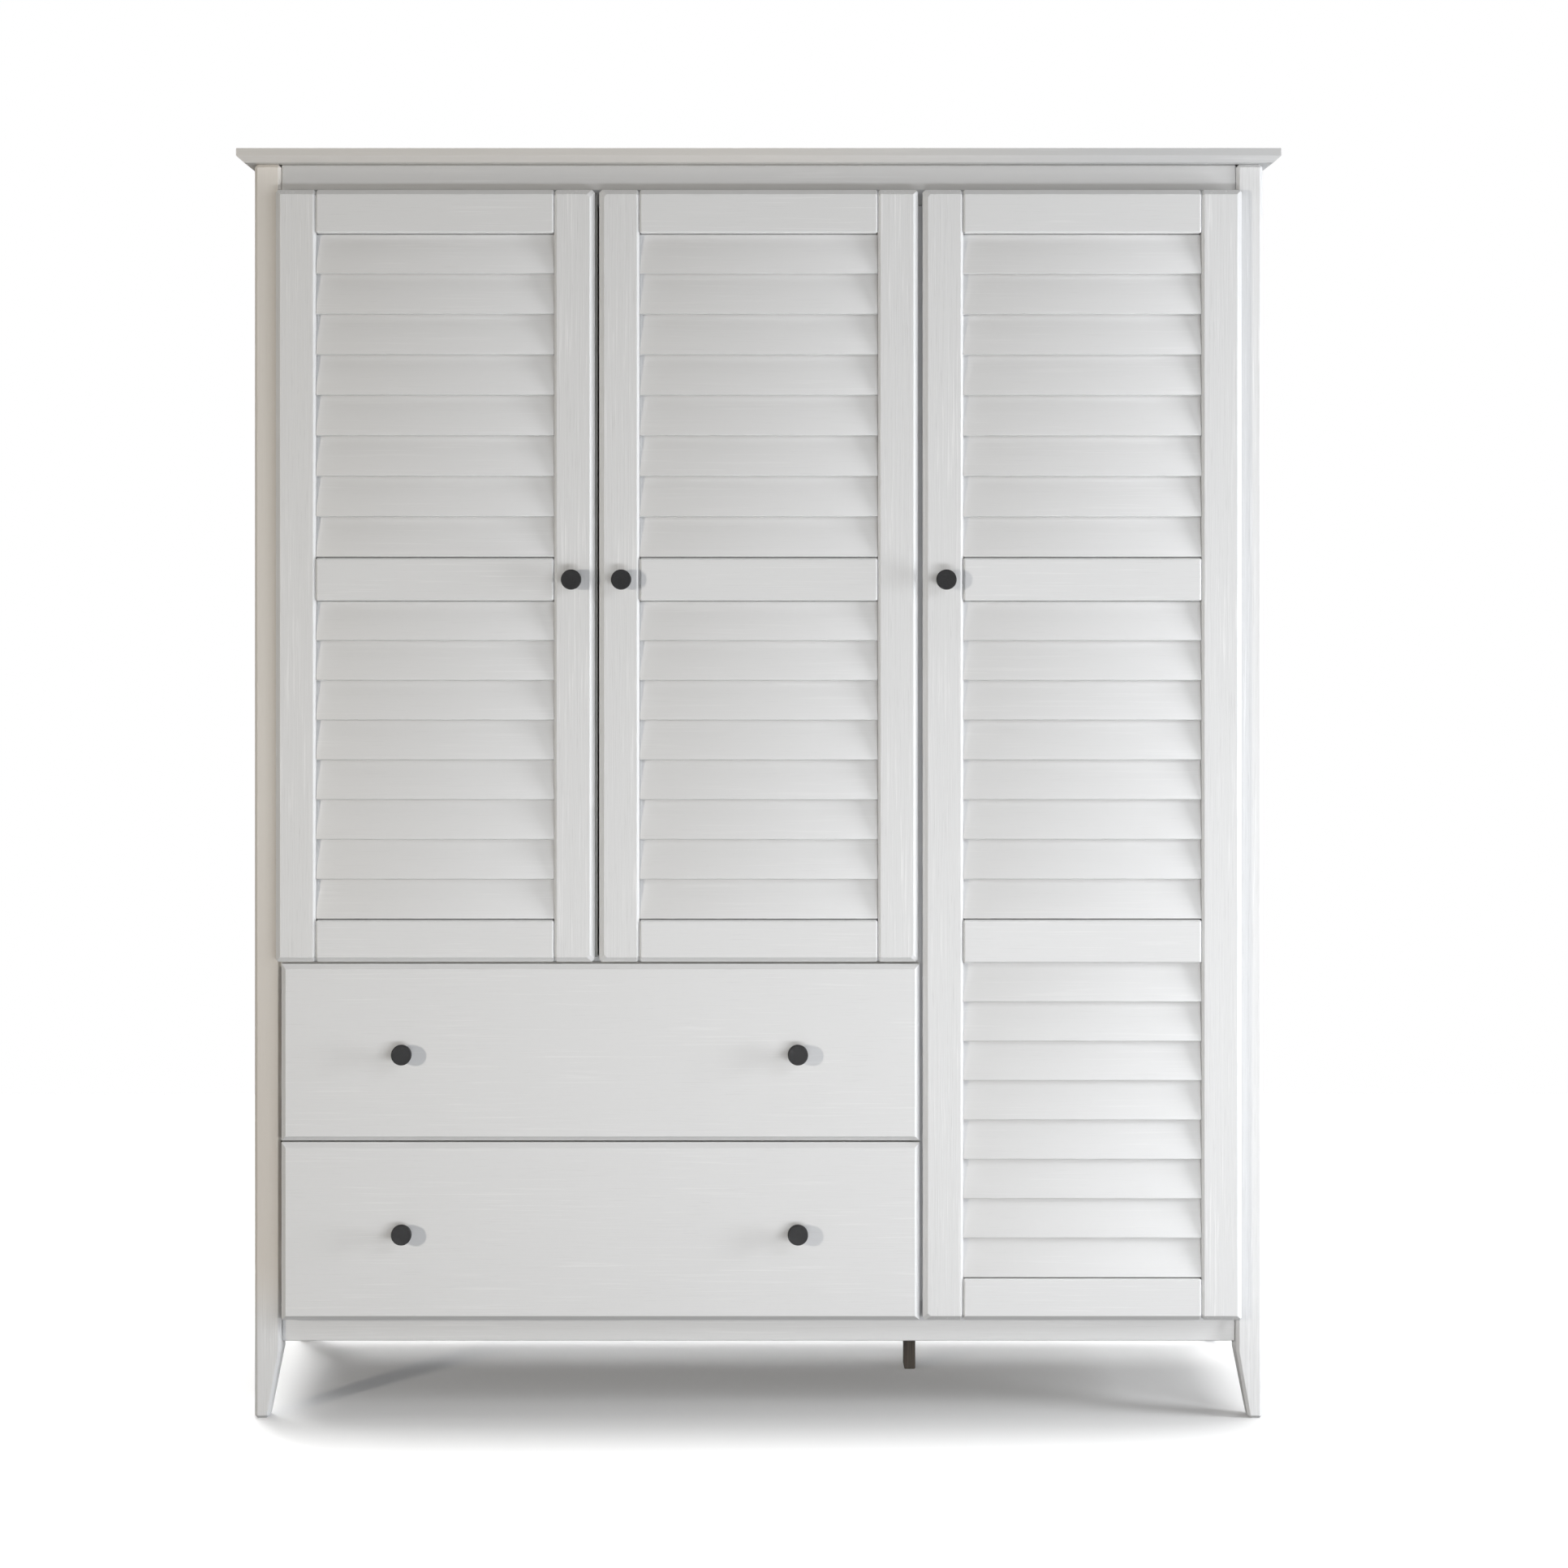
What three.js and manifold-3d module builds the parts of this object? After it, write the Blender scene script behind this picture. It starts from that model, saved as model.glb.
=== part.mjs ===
// Armoire with three louvred doors and two wide drawers on a framed carcass.
// Units are millimetres. +Z is up, +X is to the right seen from the front, and the front faces -Y.
// The origin is the centre of the bounding box's bottom face, on the floor.

import * as THREE from 'three';
import { mergeVertices } from 'three/addons/utils/BufferGeometryUtils.js';
import Module from 'manifold-3d';

const wasm = await Module();
wasm.setup();

// ---------------------------------------------------------------------------------------------
// Driving dimensions
// ---------------------------------------------------------------------------------------------

const JOINT_GAP = 0.3; // left between two pieces that touch

// Overall
const HEIGHT = 1830;
const CARCASS_WIDTH = 1455;
const CARCASS_DEPTH = 490;

// Top board
const TOP_THICKNESS = 20;
const TOP_SIDE_OVERHANG = 22.5;
const TOP_FRONT_OVERHANG = 26;
const TOP_BEVEL_OUT = 10;
const TOP_BEVEL_HEIGHT = 9;

// Posts and their tapered feet
const POST_WIDTH = 38;
const POST_DEPTH = 52;
const FOOT_WIDTH = 21;
const FOOT_DEPTH = 30;
const FOOT_TAPER_HEIGHT = 96;

// Rails of the carcass
const FRIEZE_BOTTOM = 1750;
const FRIEZE_SETBACK = 4;
const APRON_BOTTOM = 109;
const APRON_TOP = 169;
const APRON_SETBACK = 12;
const RAIL_THICKNESS = 22;

// Boards inside the carcass
const BOARD_THICKNESS = 18;
const SIDE_PANEL_RECESS = 6;
const BACK_PANEL_THICKNESS = 5;
const BACK_PANEL_INSET = 7;
const PARTITION_X = 232.6;
const FIXED_SHELF_TOP = 669;
const LOOSE_SHELF_CENTRES = { shelf_lower: 690, shelf_upper: 1210 };
const LOOSE_SHELF_SETBACK = 25;
const SUPPORT_LEG_WIDTH = 17;
const SUPPORT_LEG_DEPTH = 40;
const SUPPORT_LEG_SETBACK = 283;
const ROD_RADIUS = 14;
const ROD_HEIGHT = 1690;

// Doors and drawer fronts lie over the front of the carcass
const FRONT_THICKNESS = 20;
const FRONT_CLEARANCE = 2;
const FRONT_CHAMFER = 7;

// Doors
const DOOR_SPAN = 1389;
const DOOR_GAP = 6.5;
const DOOR_TOP = 1771;
const SHORT_DOOR_BOTTOM = 661;
const TALL_DOOR_BOTTOM = 146;
const STILE_WIDTH = 58;
const TOP_RAIL_HEIGHT = 63;
const MIDDLE_RAIL_HEIGHT = 62;
const BOTTOM_RAIL_HEIGHT = 60.5;
const UPPER_MIDDLE_RAIL_CENTRE = 1210.7;
const LOWER_MIDDLE_RAIL_CENTRE = 690.8;
const LOUVRES_PER_FIELD = 8;
const LOUVRE_TOP_RECESS = 11;
const LOUVRE_BOTTOM_RECESS = 3;
const LOUVRE_BACK_RECESS = 17;

// Hinges: the pin line is inside the door, near its hinge edge
const HINGE_EDGE_DISTANCE = 5;
const HINGE_END_DISTANCE = 100;
const HINGE_ARM_FRONT_SETBACK = 1;
const HINGE_ARM = { thickness: 10, depth: 62, height: 14 };
const HINGE_PLATE = { thickness: 3, depth: 34, height: 48, setback: 22 };

// Drawers
const DRAWER_FRONT_LEFT = -686.5;
const DRAWER_FRONT_RIGHT = 231.3;
const DRAWERS = {
  upper_drawer: { bottom: 404, top: 658, boxBottom: 428 },
  lower_drawer: { bottom: 146, top: 401.5, boxBottom: 180 },
};
const DRAWER_RUNNER_SPACE = 12.7;
const DRAWER_SIDE_THICKNESS = 15;
const DRAWER_BOX_HEIGHT = 180;
const DRAWER_BOX_DEPTH = 430;
const DRAWER_BOTTOM_THICKNESS = 6;
const DRAWER_BOTTOM_RISE = 12;

// Knobs
const KNOB_PROJECTION = 25;
const KNOB_HEAD_RADIUS = 14.5;
const KNOB_NECK_RADIUS = 6.5;
const KNOB_BASE_RADIUS = 8.5;
const KNOB_HEAD_THICKNESS = 9;
const KNOB_SEGMENTS = 32;
const DOOR_KNOB_EDGE_DISTANCE = 32.5;
const DRAWER_KNOB_OFFSET = 283.5;

// ---------------------------------------------------------------------------------------------
// Planes worked out from the driving dimensions
// ---------------------------------------------------------------------------------------------

const FRONT_STACK = FRONT_CLEARANCE + FRONT_THICKNESS + KNOB_PROJECTION;
const CARCASS_FRONT = FRONT_STACK - (CARCASS_DEPTH + FRONT_STACK) / 2;
const CARCASS_BACK = CARCASS_FRONT + CARCASS_DEPTH;
const FRONT_FACE = CARCASS_FRONT - FRONT_CLEARANCE - FRONT_THICKNESS;
const TOP_UNDERSIDE = HEIGHT - TOP_THICKNESS;

const HALF_WIDTH = CARCASS_WIDTH / 2;
const POST_INNER_X = HALF_WIDTH - POST_WIDTH;
const SIDE_INNER_X = HALF_WIDTH - SIDE_PANEL_RECESS - BOARD_THICKNESS;
const BACK_PANEL_FRONT = CARCASS_BACK - BACK_PANEL_INSET - BACK_PANEL_THICKNESS;
const PARTITION_LEFT = PARTITION_X - BOARD_THICKNESS / 2;
const PARTITION_RIGHT = PARTITION_X + BOARD_THICKNESS / 2;
const HINGE_Y = CARCASS_FRONT - FRONT_CLEARANCE - FRONT_THICKNESS / 2;

// ---------------------------------------------------------------------------------------------
// Materials: one new material for each piece
// ---------------------------------------------------------------------------------------------

const FINISHES = {
  paint: { color: '#e4e5e6', roughness: 0.45, metalness: 0 },
  pine: { color: '#d9bd8f', roughness: 0.6, metalness: 0 },
  ply: { color: '#d8d4cb', roughness: 0.65, metalness: 0 },
  darkWood: { color: '#3f3a33', roughness: 0.7, metalness: 0 },
  knob: { color: '#35353a', roughness: 0.5, metalness: 0.3 },
  steel: { color: '#b4b6b9', roughness: 0.3, metalness: 1 },
};

/** A mesh with a name, its own material and a position. */
function piece(name, geometry, finish, position = [0, 0, 0]) {
  const mesh = new THREE.Mesh(geometry, new THREE.MeshStandardMaterial(FINISHES[finish]));
  mesh.name = name;
  mesh.position.set(...position);
  return mesh;
}

// ---------------------------------------------------------------------------------------------
// Shape helpers
// ---------------------------------------------------------------------------------------------

const AXIS_X = new THREE.Vector3(1, 0, 0);
const AXIS_Y = new THREE.Vector3(0, 1, 0);
const AXIS_Z = new THREE.Vector3(0, 0, 1);
const YZ_OUTLINE_ALONG_X = new THREE.Matrix4().makeBasis(AXIS_Y, AXIS_Z, AXIS_X);
const XZ_OUTLINE_ALONG_Y = new THREE.Matrix4().makeBasis(AXIS_X, AXIS_Z, AXIS_Y.clone().negate());

/** A prism over an outline of [u, v] points, centred on its length. */
function prism(outline, length) {
  const shape = new THREE.Shape(outline.map(([u, v]) => new THREE.Vector2(u, v)));
  const geometry = new THREE.ExtrudeGeometry(shape, { depth: length, bevelEnabled: false });
  return geometry.translate(0, 0, -length / 2);
}

/** A prism along X over an outline of [y, z] points. */
function prismX(outline, length) {
  return prism(outline, length).applyMatrix4(YZ_OUTLINE_ALONG_X);
}

/** A prism along Y over an outline of [x, z] points. */
function prismY(outline, length) {
  return prism(outline, length).applyMatrix4(XZ_OUTLINE_ALONG_Y);
}

/** The solid of a closed geometry, with its shared vertices merged. */
function solidOf(geometry) {
  const bare = geometry.clone();
  bare.deleteAttribute('normal');
  bare.deleteAttribute('uv');
  const merged = mergeVertices(bare);
  return new wasm.Manifold(new wasm.Mesh({
    numProp: 3,
    vertProperties: Float32Array.from(merged.attributes.position.array),
    triVerts: Uint32Array.from(merged.index.array),
  }));
}

/** The geometry of a solid. */
function geometryOf(solid) {
  const { vertProperties, triVerts } = solid.getMesh();
  const geometry = new THREE.BufferGeometry();
  geometry.setAttribute('position', new THREE.BufferAttribute(vertProperties, 3));
  geometry.setIndex(new THREE.BufferAttribute(triVerts, 1));
  geometry.computeVertexNormals();
  return geometry;
}

/** What two closed geometries have in common. */
function intersect(first, second) {
  return geometryOf(solidOf(first).intersect(solidOf(second)));
}

/** Two closed geometries joined into one body. */
function join(first, second) {
  return geometryOf(solidOf(first).add(solidOf(second)));
}

/** A plain board between two opposite corners, less the joint gap on the sides named in `gaps`. */
function board(name, low, high, finish) {
  const size = high.map((value, axis) => value - low[axis]);
  const centre = high.map((value, axis) => (value + low[axis]) / 2);
  return piece(name, new THREE.BoxGeometry(...size), finish, centre);
}

/** One side of a chamfered outline: a corner at depth 0, cut back by the chamfer where there is one. */
function frontCorner(side, edge, chamfer) {
  if (chamfer === 0) {
    return [[edge, 0]];
  }
  const points = [[edge, chamfer], [edge - side * chamfer, 0]];
  return side < 0 ? points : points.reverse();
}

/**
 * A flat piece of a door or a drawer front. Its front face is at y = 0 and its back at FRONT_THICKNESS.
 * Each edge named in `chamfers` (left, right, top, bottom) has the wide front chamfer.
 */
function frontPiece(width, height, chamfers) {
  const cut = (edge) => (chamfers.includes(edge) ? FRONT_CHAMFER : 0);
  const [halfWidth, halfHeight] = [width / 2, height / 2];
  const across = prism([
    [halfWidth, FRONT_THICKNESS],
    [-halfWidth, FRONT_THICKNESS],
    ...frontCorner(-1, -halfWidth, cut('left')),
    ...frontCorner(1, halfWidth, cut('right')),
  ], height);
  if (cut('top') === 0 && cut('bottom') === 0) {
    return across;
  }
  const upright = [
    ...frontCorner(-1, -halfHeight, cut('bottom')),
    ...frontCorner(1, halfHeight, cut('top')),
    [halfHeight, FRONT_THICKNESS],
    [-halfHeight, FRONT_THICKNESS],
  ].map(([z, y]) => [y, z]).reverse();
  return intersect(across, prismX(upright, width));
}

// ---------------------------------------------------------------------------------------------
// Carcass
// ---------------------------------------------------------------------------------------------

/** The top board: square above, with a bevel under the front edge and both side edges. */
function topBoard() {
  const halfWidth = HALF_WIDTH + TOP_SIDE_OVERHANG;
  const depth = CARCASS_DEPTH + TOP_FRONT_OVERHANG;
  const across = prismY([
    [-halfWidth, TOP_THICKNESS],
    [-halfWidth, TOP_BEVEL_HEIGHT],
    [-halfWidth + TOP_BEVEL_OUT, 0],
    [halfWidth - TOP_BEVEL_OUT, 0],
    [halfWidth, TOP_BEVEL_HEIGHT],
    [halfWidth, TOP_THICKNESS],
  ], depth);
  const deep = prismX([
    [-depth / 2, TOP_THICKNESS],
    [-depth / 2, TOP_BEVEL_HEIGHT],
    [-depth / 2 + TOP_BEVEL_OUT, 0],
    [depth / 2, 0],
    [depth / 2, TOP_THICKNESS],
  ], 2 * halfWidth);
  const centreY = CARCASS_BACK - depth / 2;
  return piece('top_board', intersect(across, deep), 'paint', [0, centreY, TOP_UNDERSIDE]);
}

/** A corner post. sideX and sideY are the signs of its corner; the foot tapers on the inner sides. */
function post(name, sideX, sideY) {
  const height = TOP_UNDERSIDE - JOINT_GAP;
  const taperedOutline = (side, full, foot) => [
    [0, 0],
    [-side * foot, 0],
    [-side * full, FOOT_TAPER_HEIGHT],
    [-side * full, height],
    [0, height],
  ];
  const across = prismY(taperedOutline(sideX, POST_WIDTH, FOOT_WIDTH), POST_DEPTH);
  const deep = prismX(taperedOutline(sideY, POST_DEPTH, FOOT_DEPTH), POST_WIDTH);
  across.translate(0, -sideY * POST_DEPTH / 2, 0);
  deep.translate(-sideX * POST_WIDTH / 2, 0, 0);
  const cornerY = sideY < 0 ? CARCASS_FRONT : CARCASS_BACK;
  return piece(name, intersect(across, deep), 'paint', [sideX * HALF_WIDTH, cornerY, 0]);
}

/**
 * A level board between two uprights. It reaches the side panels between the posts, so each corner
 * at a side panel is notched around the post there.
 */
function levelBoard(name, left, right, frontY, centreZ) {
  const atLeftPanel = left < -POST_INNER_X;
  const atRightPanel = right > POST_INNER_X;
  const backY = BACK_PANEL_FRONT - JOINT_GAP;
  const postFrontY = CARCASS_FRONT + POST_DEPTH + JOINT_GAP;
  const postBackY = CARCASS_BACK - POST_DEPTH - JOINT_GAP;
  const notchX = POST_INNER_X - JOINT_GAP;
  const leftEdge = atLeftPanel
    ? [[-notchX, backY], [-notchX, postBackY], [left, postBackY], [left, postFrontY], [-notchX, postFrontY],
      [-notchX, frontY]]
    : [[left, backY], [left, frontY]];
  const rightEdge = atRightPanel
    ? [[notchX, frontY], [notchX, postFrontY], [right, postFrontY], [right, postBackY], [notchX, postBackY],
      [notchX, backY]]
    : [[right, frontY], [right, backY]];
  return piece(name, prism([...leftEdge, ...rightEdge], BOARD_THICKNESS), 'paint', [0, 0, centreZ]);
}

/** The upright partition, notched around the frieze rail at its top front corner. */
function partition() {
  const friezeBack = CARCASS_FRONT + FRIEZE_SETBACK + RAIL_THICKNESS + JOINT_GAP;
  const outline = [
    [CARCASS_FRONT, APRON_TOP + JOINT_GAP],
    [BACK_PANEL_FRONT - JOINT_GAP, APRON_TOP + JOINT_GAP],
    [BACK_PANEL_FRONT - JOINT_GAP, TOP_UNDERSIDE - JOINT_GAP],
    [friezeBack, TOP_UNDERSIDE - JOINT_GAP],
    [friezeBack, FRIEZE_BOTTOM - JOINT_GAP],
    [CARCASS_FRONT, FRIEZE_BOTTOM - JOINT_GAP],
  ];
  return piece('partition', prismX(outline, BOARD_THICKNESS), 'paint', [PARTITION_X, 0, 0]);
}

/** A rail between the front posts, set back from their front plane. */
function carcassRail(name, bottom, top, setback) {
  const reach = POST_INNER_X - JOINT_GAP;
  const frontY = CARCASS_FRONT + setback;
  return board(name, [-reach, frontY, bottom], [reach, frontY + RAIL_THICKNESS, top], 'paint');
}

/** A side panel between the front and back posts of one side. */
function sidePanel(name, side) {
  const outerX = HALF_WIDTH - SIDE_PANEL_RECESS;
  const edges = [side * SIDE_INNER_X, side * outerX].sort((a, b) => a - b);
  const frontY = CARCASS_FRONT + POST_DEPTH + JOINT_GAP;
  const backY = CARCASS_BACK - POST_DEPTH - JOINT_GAP;
  const topZ = TOP_UNDERSIDE - JOINT_GAP;
  return board(name, [edges[0], frontY, APRON_BOTTOM], [edges[1], backY, topZ], 'paint');
}

/** The thin back panel, let in between the back posts. */
function backPanel() {
  const reach = POST_INNER_X - JOINT_GAP;
  const backY = BACK_PANEL_FRONT + BACK_PANEL_THICKNESS;
  const topZ = TOP_UNDERSIDE - JOINT_GAP;
  return board('back_panel', [-reach, BACK_PANEL_FRONT, APRON_BOTTOM], [reach, backY, topZ], 'ply');
}

/** The narrow leg that carries the bottom panel under the partition. */
function supportLeg() {
  const left = PARTITION_X - SUPPORT_LEG_WIDTH / 2;
  const frontY = CARCASS_FRONT + SUPPORT_LEG_SETBACK;
  const topZ = APRON_TOP - BOARD_THICKNESS - JOINT_GAP;
  const high = [left + SUPPORT_LEG_WIDTH, frontY + SUPPORT_LEG_DEPTH, topZ];
  return board('support_leg', [left, frontY, 0], high, 'darkWood');
}

/** The hanging rod of the left compartment, between the side panel and the partition. */
function hangingRod() {
  const left = -SIDE_INNER_X + JOINT_GAP;
  const right = PARTITION_LEFT - JOINT_GAP;
  const geometry = new THREE.CylinderGeometry(ROD_RADIUS, ROD_RADIUS, right - left, KNOB_SEGMENTS);
  const middleY = (CARCASS_FRONT + BACK_PANEL_FRONT) / 2;
  const rod = piece('hanging_rod', geometry, 'steel', [(left + right) / 2, middleY, ROD_HEIGHT]);
  rod.rotation.z = Math.PI / 2;
  return rod;
}

/** A hinge arm and its mounting plate, fixed to an upright face at x; side points into the compartment. */
function hingeArm(name, x, side, z) {
  const arm = new THREE.BoxGeometry(HINGE_ARM.thickness, HINGE_ARM.depth, HINGE_ARM.height);
  arm.translate(side * HINGE_ARM.thickness / 2, HINGE_ARM.depth / 2, 0);
  const plate = new THREE.BoxGeometry(HINGE_PLATE.thickness, HINGE_PLATE.depth, HINGE_PLATE.height);
  plate.translate(side * HINGE_PLATE.thickness / 2, HINGE_PLATE.setback + HINGE_PLATE.depth / 2, 0);
  const position = [x + side * JOINT_GAP, CARCASS_FRONT + HINGE_ARM_FRONT_SETBACK, z];
  return piece(name, join(arm, plate), 'steel', position);
}

function buildCarcass() {
  const carcass = new THREE.Group();
  const sideReach = SIDE_INNER_X - JOINT_GAP;
  const bottomZ = APRON_TOP - BOARD_THICKNESS / 2;
  const bottomFrontY = CARCASS_FRONT + APRON_SETBACK + RAIL_THICKNESS + JOINT_GAP;
  const fixedShelfZ = FIXED_SHELF_TOP - BOARD_THICKNESS / 2;
  carcass.add(
    topBoard(),
    post('post_front_left', -1, -1),
    post('post_front_right', 1, -1),
    post('post_back_left', -1, 1),
    post('post_back_right', 1, 1),
    carcassRail('frieze_rail', FRIEZE_BOTTOM, TOP_UNDERSIDE - JOINT_GAP, FRIEZE_SETBACK),
    carcassRail('apron_rail', APRON_BOTTOM, APRON_TOP, APRON_SETBACK),
    sidePanel('side_panel_left', -1),
    sidePanel('side_panel_right', 1),
    backPanel(),
    partition(),
    levelBoard('bottom_panel', -sideReach, sideReach, bottomFrontY, bottomZ),
    levelBoard('fixed_shelf', -sideReach, PARTITION_LEFT - JOINT_GAP, CARCASS_FRONT, fixedShelfZ),
    supportLeg(),
    hangingRod(),
  );
  for (const [name, centreZ] of Object.entries(LOOSE_SHELF_CENTRES)) {
    const frontY = CARCASS_FRONT + LOOSE_SHELF_SETBACK;
    carcass.add(levelBoard(name, PARTITION_RIGHT + JOINT_GAP, sideReach, frontY, centreZ));
  }
  return carcass;
}

// ---------------------------------------------------------------------------------------------
// Knobs
// ---------------------------------------------------------------------------------------------

/** A round knob with a flat face. It stands on y = 0 and points to -Y. */
function knob(name, position) {
  const headBack = KNOB_PROJECTION - KNOB_HEAD_THICKNESS;
  const rim = 1.5;
  const profile = [
    [0, JOINT_GAP],
    [KNOB_BASE_RADIUS, JOINT_GAP],
    [KNOB_NECK_RADIUS, headBack / 2],
    [KNOB_NECK_RADIUS + 1, headBack - 2],
    [KNOB_HEAD_RADIUS - rim, headBack],
    [KNOB_HEAD_RADIUS, headBack + rim],
    [KNOB_HEAD_RADIUS, KNOB_PROJECTION - rim],
    [KNOB_HEAD_RADIUS - rim, KNOB_PROJECTION],
    [0, KNOB_PROJECTION],
  ];
  const points = profile.map(([radius, height]) => new THREE.Vector2(radius, height));
  const mesh = piece(name, new THREE.LatheGeometry(points, KNOB_SEGMENTS), 'knob', position);
  mesh.rotation.x = Math.PI;
  return mesh;
}

// ---------------------------------------------------------------------------------------------
// Doors
// ---------------------------------------------------------------------------------------------

const DOOR_WIDTH = (DOOR_SPAN - 2 * DOOR_GAP) / 3;
const TOP_RAIL = { name: 'top_rail', top: DOOR_TOP, bottom: DOOR_TOP - TOP_RAIL_HEIGHT };

function middleRail(name, centre) {
  return { name, top: centre + MIDDLE_RAIL_HEIGHT / 2, bottom: centre - MIDDLE_RAIL_HEIGHT / 2 };
}

function bottomRail(bottom) {
  return { name: 'bottom_rail', top: bottom + BOTTOM_RAIL_HEIGHT, bottom };
}

const SHORT_DOOR = {
  bottom: SHORT_DOOR_BOTTOM,
  rails: [TOP_RAIL, middleRail('middle_rail', UPPER_MIDDLE_RAIL_CENTRE), bottomRail(SHORT_DOOR_BOTTOM)],
  fields: ['upper_louvres', 'lower_louvres'],
  hinges: ['upper', 'lower'],
};
const TALL_DOOR = {
  bottom: TALL_DOOR_BOTTOM,
  rails: [
    TOP_RAIL,
    middleRail('upper_middle_rail', UPPER_MIDDLE_RAIL_CENTRE),
    middleRail('lower_middle_rail', LOWER_MIDDLE_RAIL_CENTRE),
    bottomRail(TALL_DOOR_BOTTOM),
  ],
  fields: ['upper_louvres', 'middle_louvres', 'lower_louvres'],
  hinges: ['upper', 'middle', 'lower'],
};

// hingeSide is -1 for a door hinged on its left edge and 1 on its right; armFace is the upright face
// that carries the hinge arms.
const DOORS = [
  { name: 'left_door', column: 0, hingeSide: -1, armFace: -POST_INNER_X, ...SHORT_DOOR },
  { name: 'middle_door', column: 1, hingeSide: 1, armFace: PARTITION_LEFT, ...SHORT_DOOR },
  { name: 'right_door', column: 2, hingeSide: 1, armFace: POST_INNER_X, ...TALL_DOOR },
];

/** The edge chamfers of a rail: only the first and the last rail of a door have one. */
function railChamfers(index, count) {
  if (index === 0) {
    return ['top'];
  }
  return index === count - 1 ? ['bottom'] : [];
}

/** The louvres of one field as one solid: sloping faces that step back under each louvre's edge. */
function louvreField(name, width, top, bottom) {
  const pitch = (top - bottom) / LOUVRES_PER_FIELD;
  const outline = [[LOUVRE_BACK_RECESS, bottom], [LOUVRE_BACK_RECESS, top]];
  for (let index = 0; index < LOUVRES_PER_FIELD; index += 1) {
    const louvreTop = top - index * pitch;
    outline.push([LOUVRE_TOP_RECESS, louvreTop], [LOUVRE_BOTTOM_RECESS, louvreTop - pitch]);
  }
  return piece(name, prismX(outline, width), 'paint');
}

/** A closed door in a group whose origin is on the hinge line, at floor height. */
function buildDoor(door) {
  const group = new THREE.Group();
  const left = -DOOR_SPAN / 2 + door.column * (DOOR_WIDTH + DOOR_GAP);
  const edgeX = door.hingeSide < 0 ? left : left + DOOR_WIDTH;
  group.position.set(edgeX - door.hingeSide * HINGE_EDGE_DISTANCE, HINGE_Y, 0);

  const centreX = left + DOOR_WIDTH / 2 - group.position.x;
  const faceY = FRONT_FACE - HINGE_Y;
  const height = DOOR_TOP - door.bottom;
  const middleZ = (DOOR_TOP + door.bottom) / 2;
  for (const [role, side] of [['hinge_stile', door.hingeSide], ['lock_stile', -door.hingeSide]]) {
    const x = centreX + side * (DOOR_WIDTH - STILE_WIDTH) / 2;
    const edge = side < 0 ? 'left' : 'right';
    const geometry = frontPiece(STILE_WIDTH, height, [edge, 'top', 'bottom']);
    group.add(piece(`${door.name}_${role}`, geometry, 'paint', [x, faceY, middleZ]));
  }

  const innerWidth = DOOR_WIDTH - 2 * STILE_WIDTH - 2 * JOINT_GAP;
  door.rails.forEach((rail, index) => {
    const chamfers = railChamfers(index, door.rails.length);
    const geometry = frontPiece(innerWidth, rail.top - rail.bottom, chamfers);
    const z = (rail.top + rail.bottom) / 2;
    group.add(piece(`${door.name}_${rail.name}`, geometry, 'paint', [centreX, faceY, z]));
  });
  door.fields.forEach((field, index) => {
    const top = door.rails[index].bottom - JOINT_GAP;
    const bottom = door.rails[index + 1].top + JOINT_GAP;
    const louvres = louvreField(`${door.name}_${field}`, innerWidth, top, bottom);
    louvres.position.set(centreX, faceY, 0);
    group.add(louvres);
  });

  const knobX = centreX - door.hingeSide * (DOOR_WIDTH / 2 - DOOR_KNOB_EDGE_DISTANCE);
  group.add(knob(`${door.name}_knob`, [knobX, faceY, UPPER_MIDDLE_RAIL_CENTRE]));
  return group;
}

/** The hinge arms of a door, spread evenly between its top and bottom hinge. They stay on the carcass. */
function hingeArms(door) {
  const top = DOOR_TOP - HINGE_END_DISTANCE;
  const bottom = door.bottom + HINGE_END_DISTANCE;
  return door.hinges.map((place, index) => {
    const z = top - index * (top - bottom) / (door.hinges.length - 1);
    return hingeArm(`${door.name}_hinge_arm_${place}`, door.armFace, -door.hingeSide, z);
  });
}

// ---------------------------------------------------------------------------------------------
// Drawers
// ---------------------------------------------------------------------------------------------

/** The four sides of a drawer box as one ring, its front at y = 0. */
function drawerRing(halfWidth) {
  const outer = new THREE.Shape([
    new THREE.Vector2(-halfWidth, 0),
    new THREE.Vector2(halfWidth, 0),
    new THREE.Vector2(halfWidth, DRAWER_BOX_DEPTH),
    new THREE.Vector2(-halfWidth, DRAWER_BOX_DEPTH),
  ]);
  const innerHalf = halfWidth - DRAWER_SIDE_THICKNESS;
  const innerBack = DRAWER_BOX_DEPTH - DRAWER_SIDE_THICKNESS;
  outer.holes.push(new THREE.Path([
    new THREE.Vector2(-innerHalf, DRAWER_SIDE_THICKNESS),
    new THREE.Vector2(-innerHalf, innerBack),
    new THREE.Vector2(innerHalf, innerBack),
    new THREE.Vector2(innerHalf, DRAWER_SIDE_THICKNESS),
  ]));
  return new THREE.ExtrudeGeometry(outer, { depth: DRAWER_BOX_HEIGHT, bevelEnabled: false });
}

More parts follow.
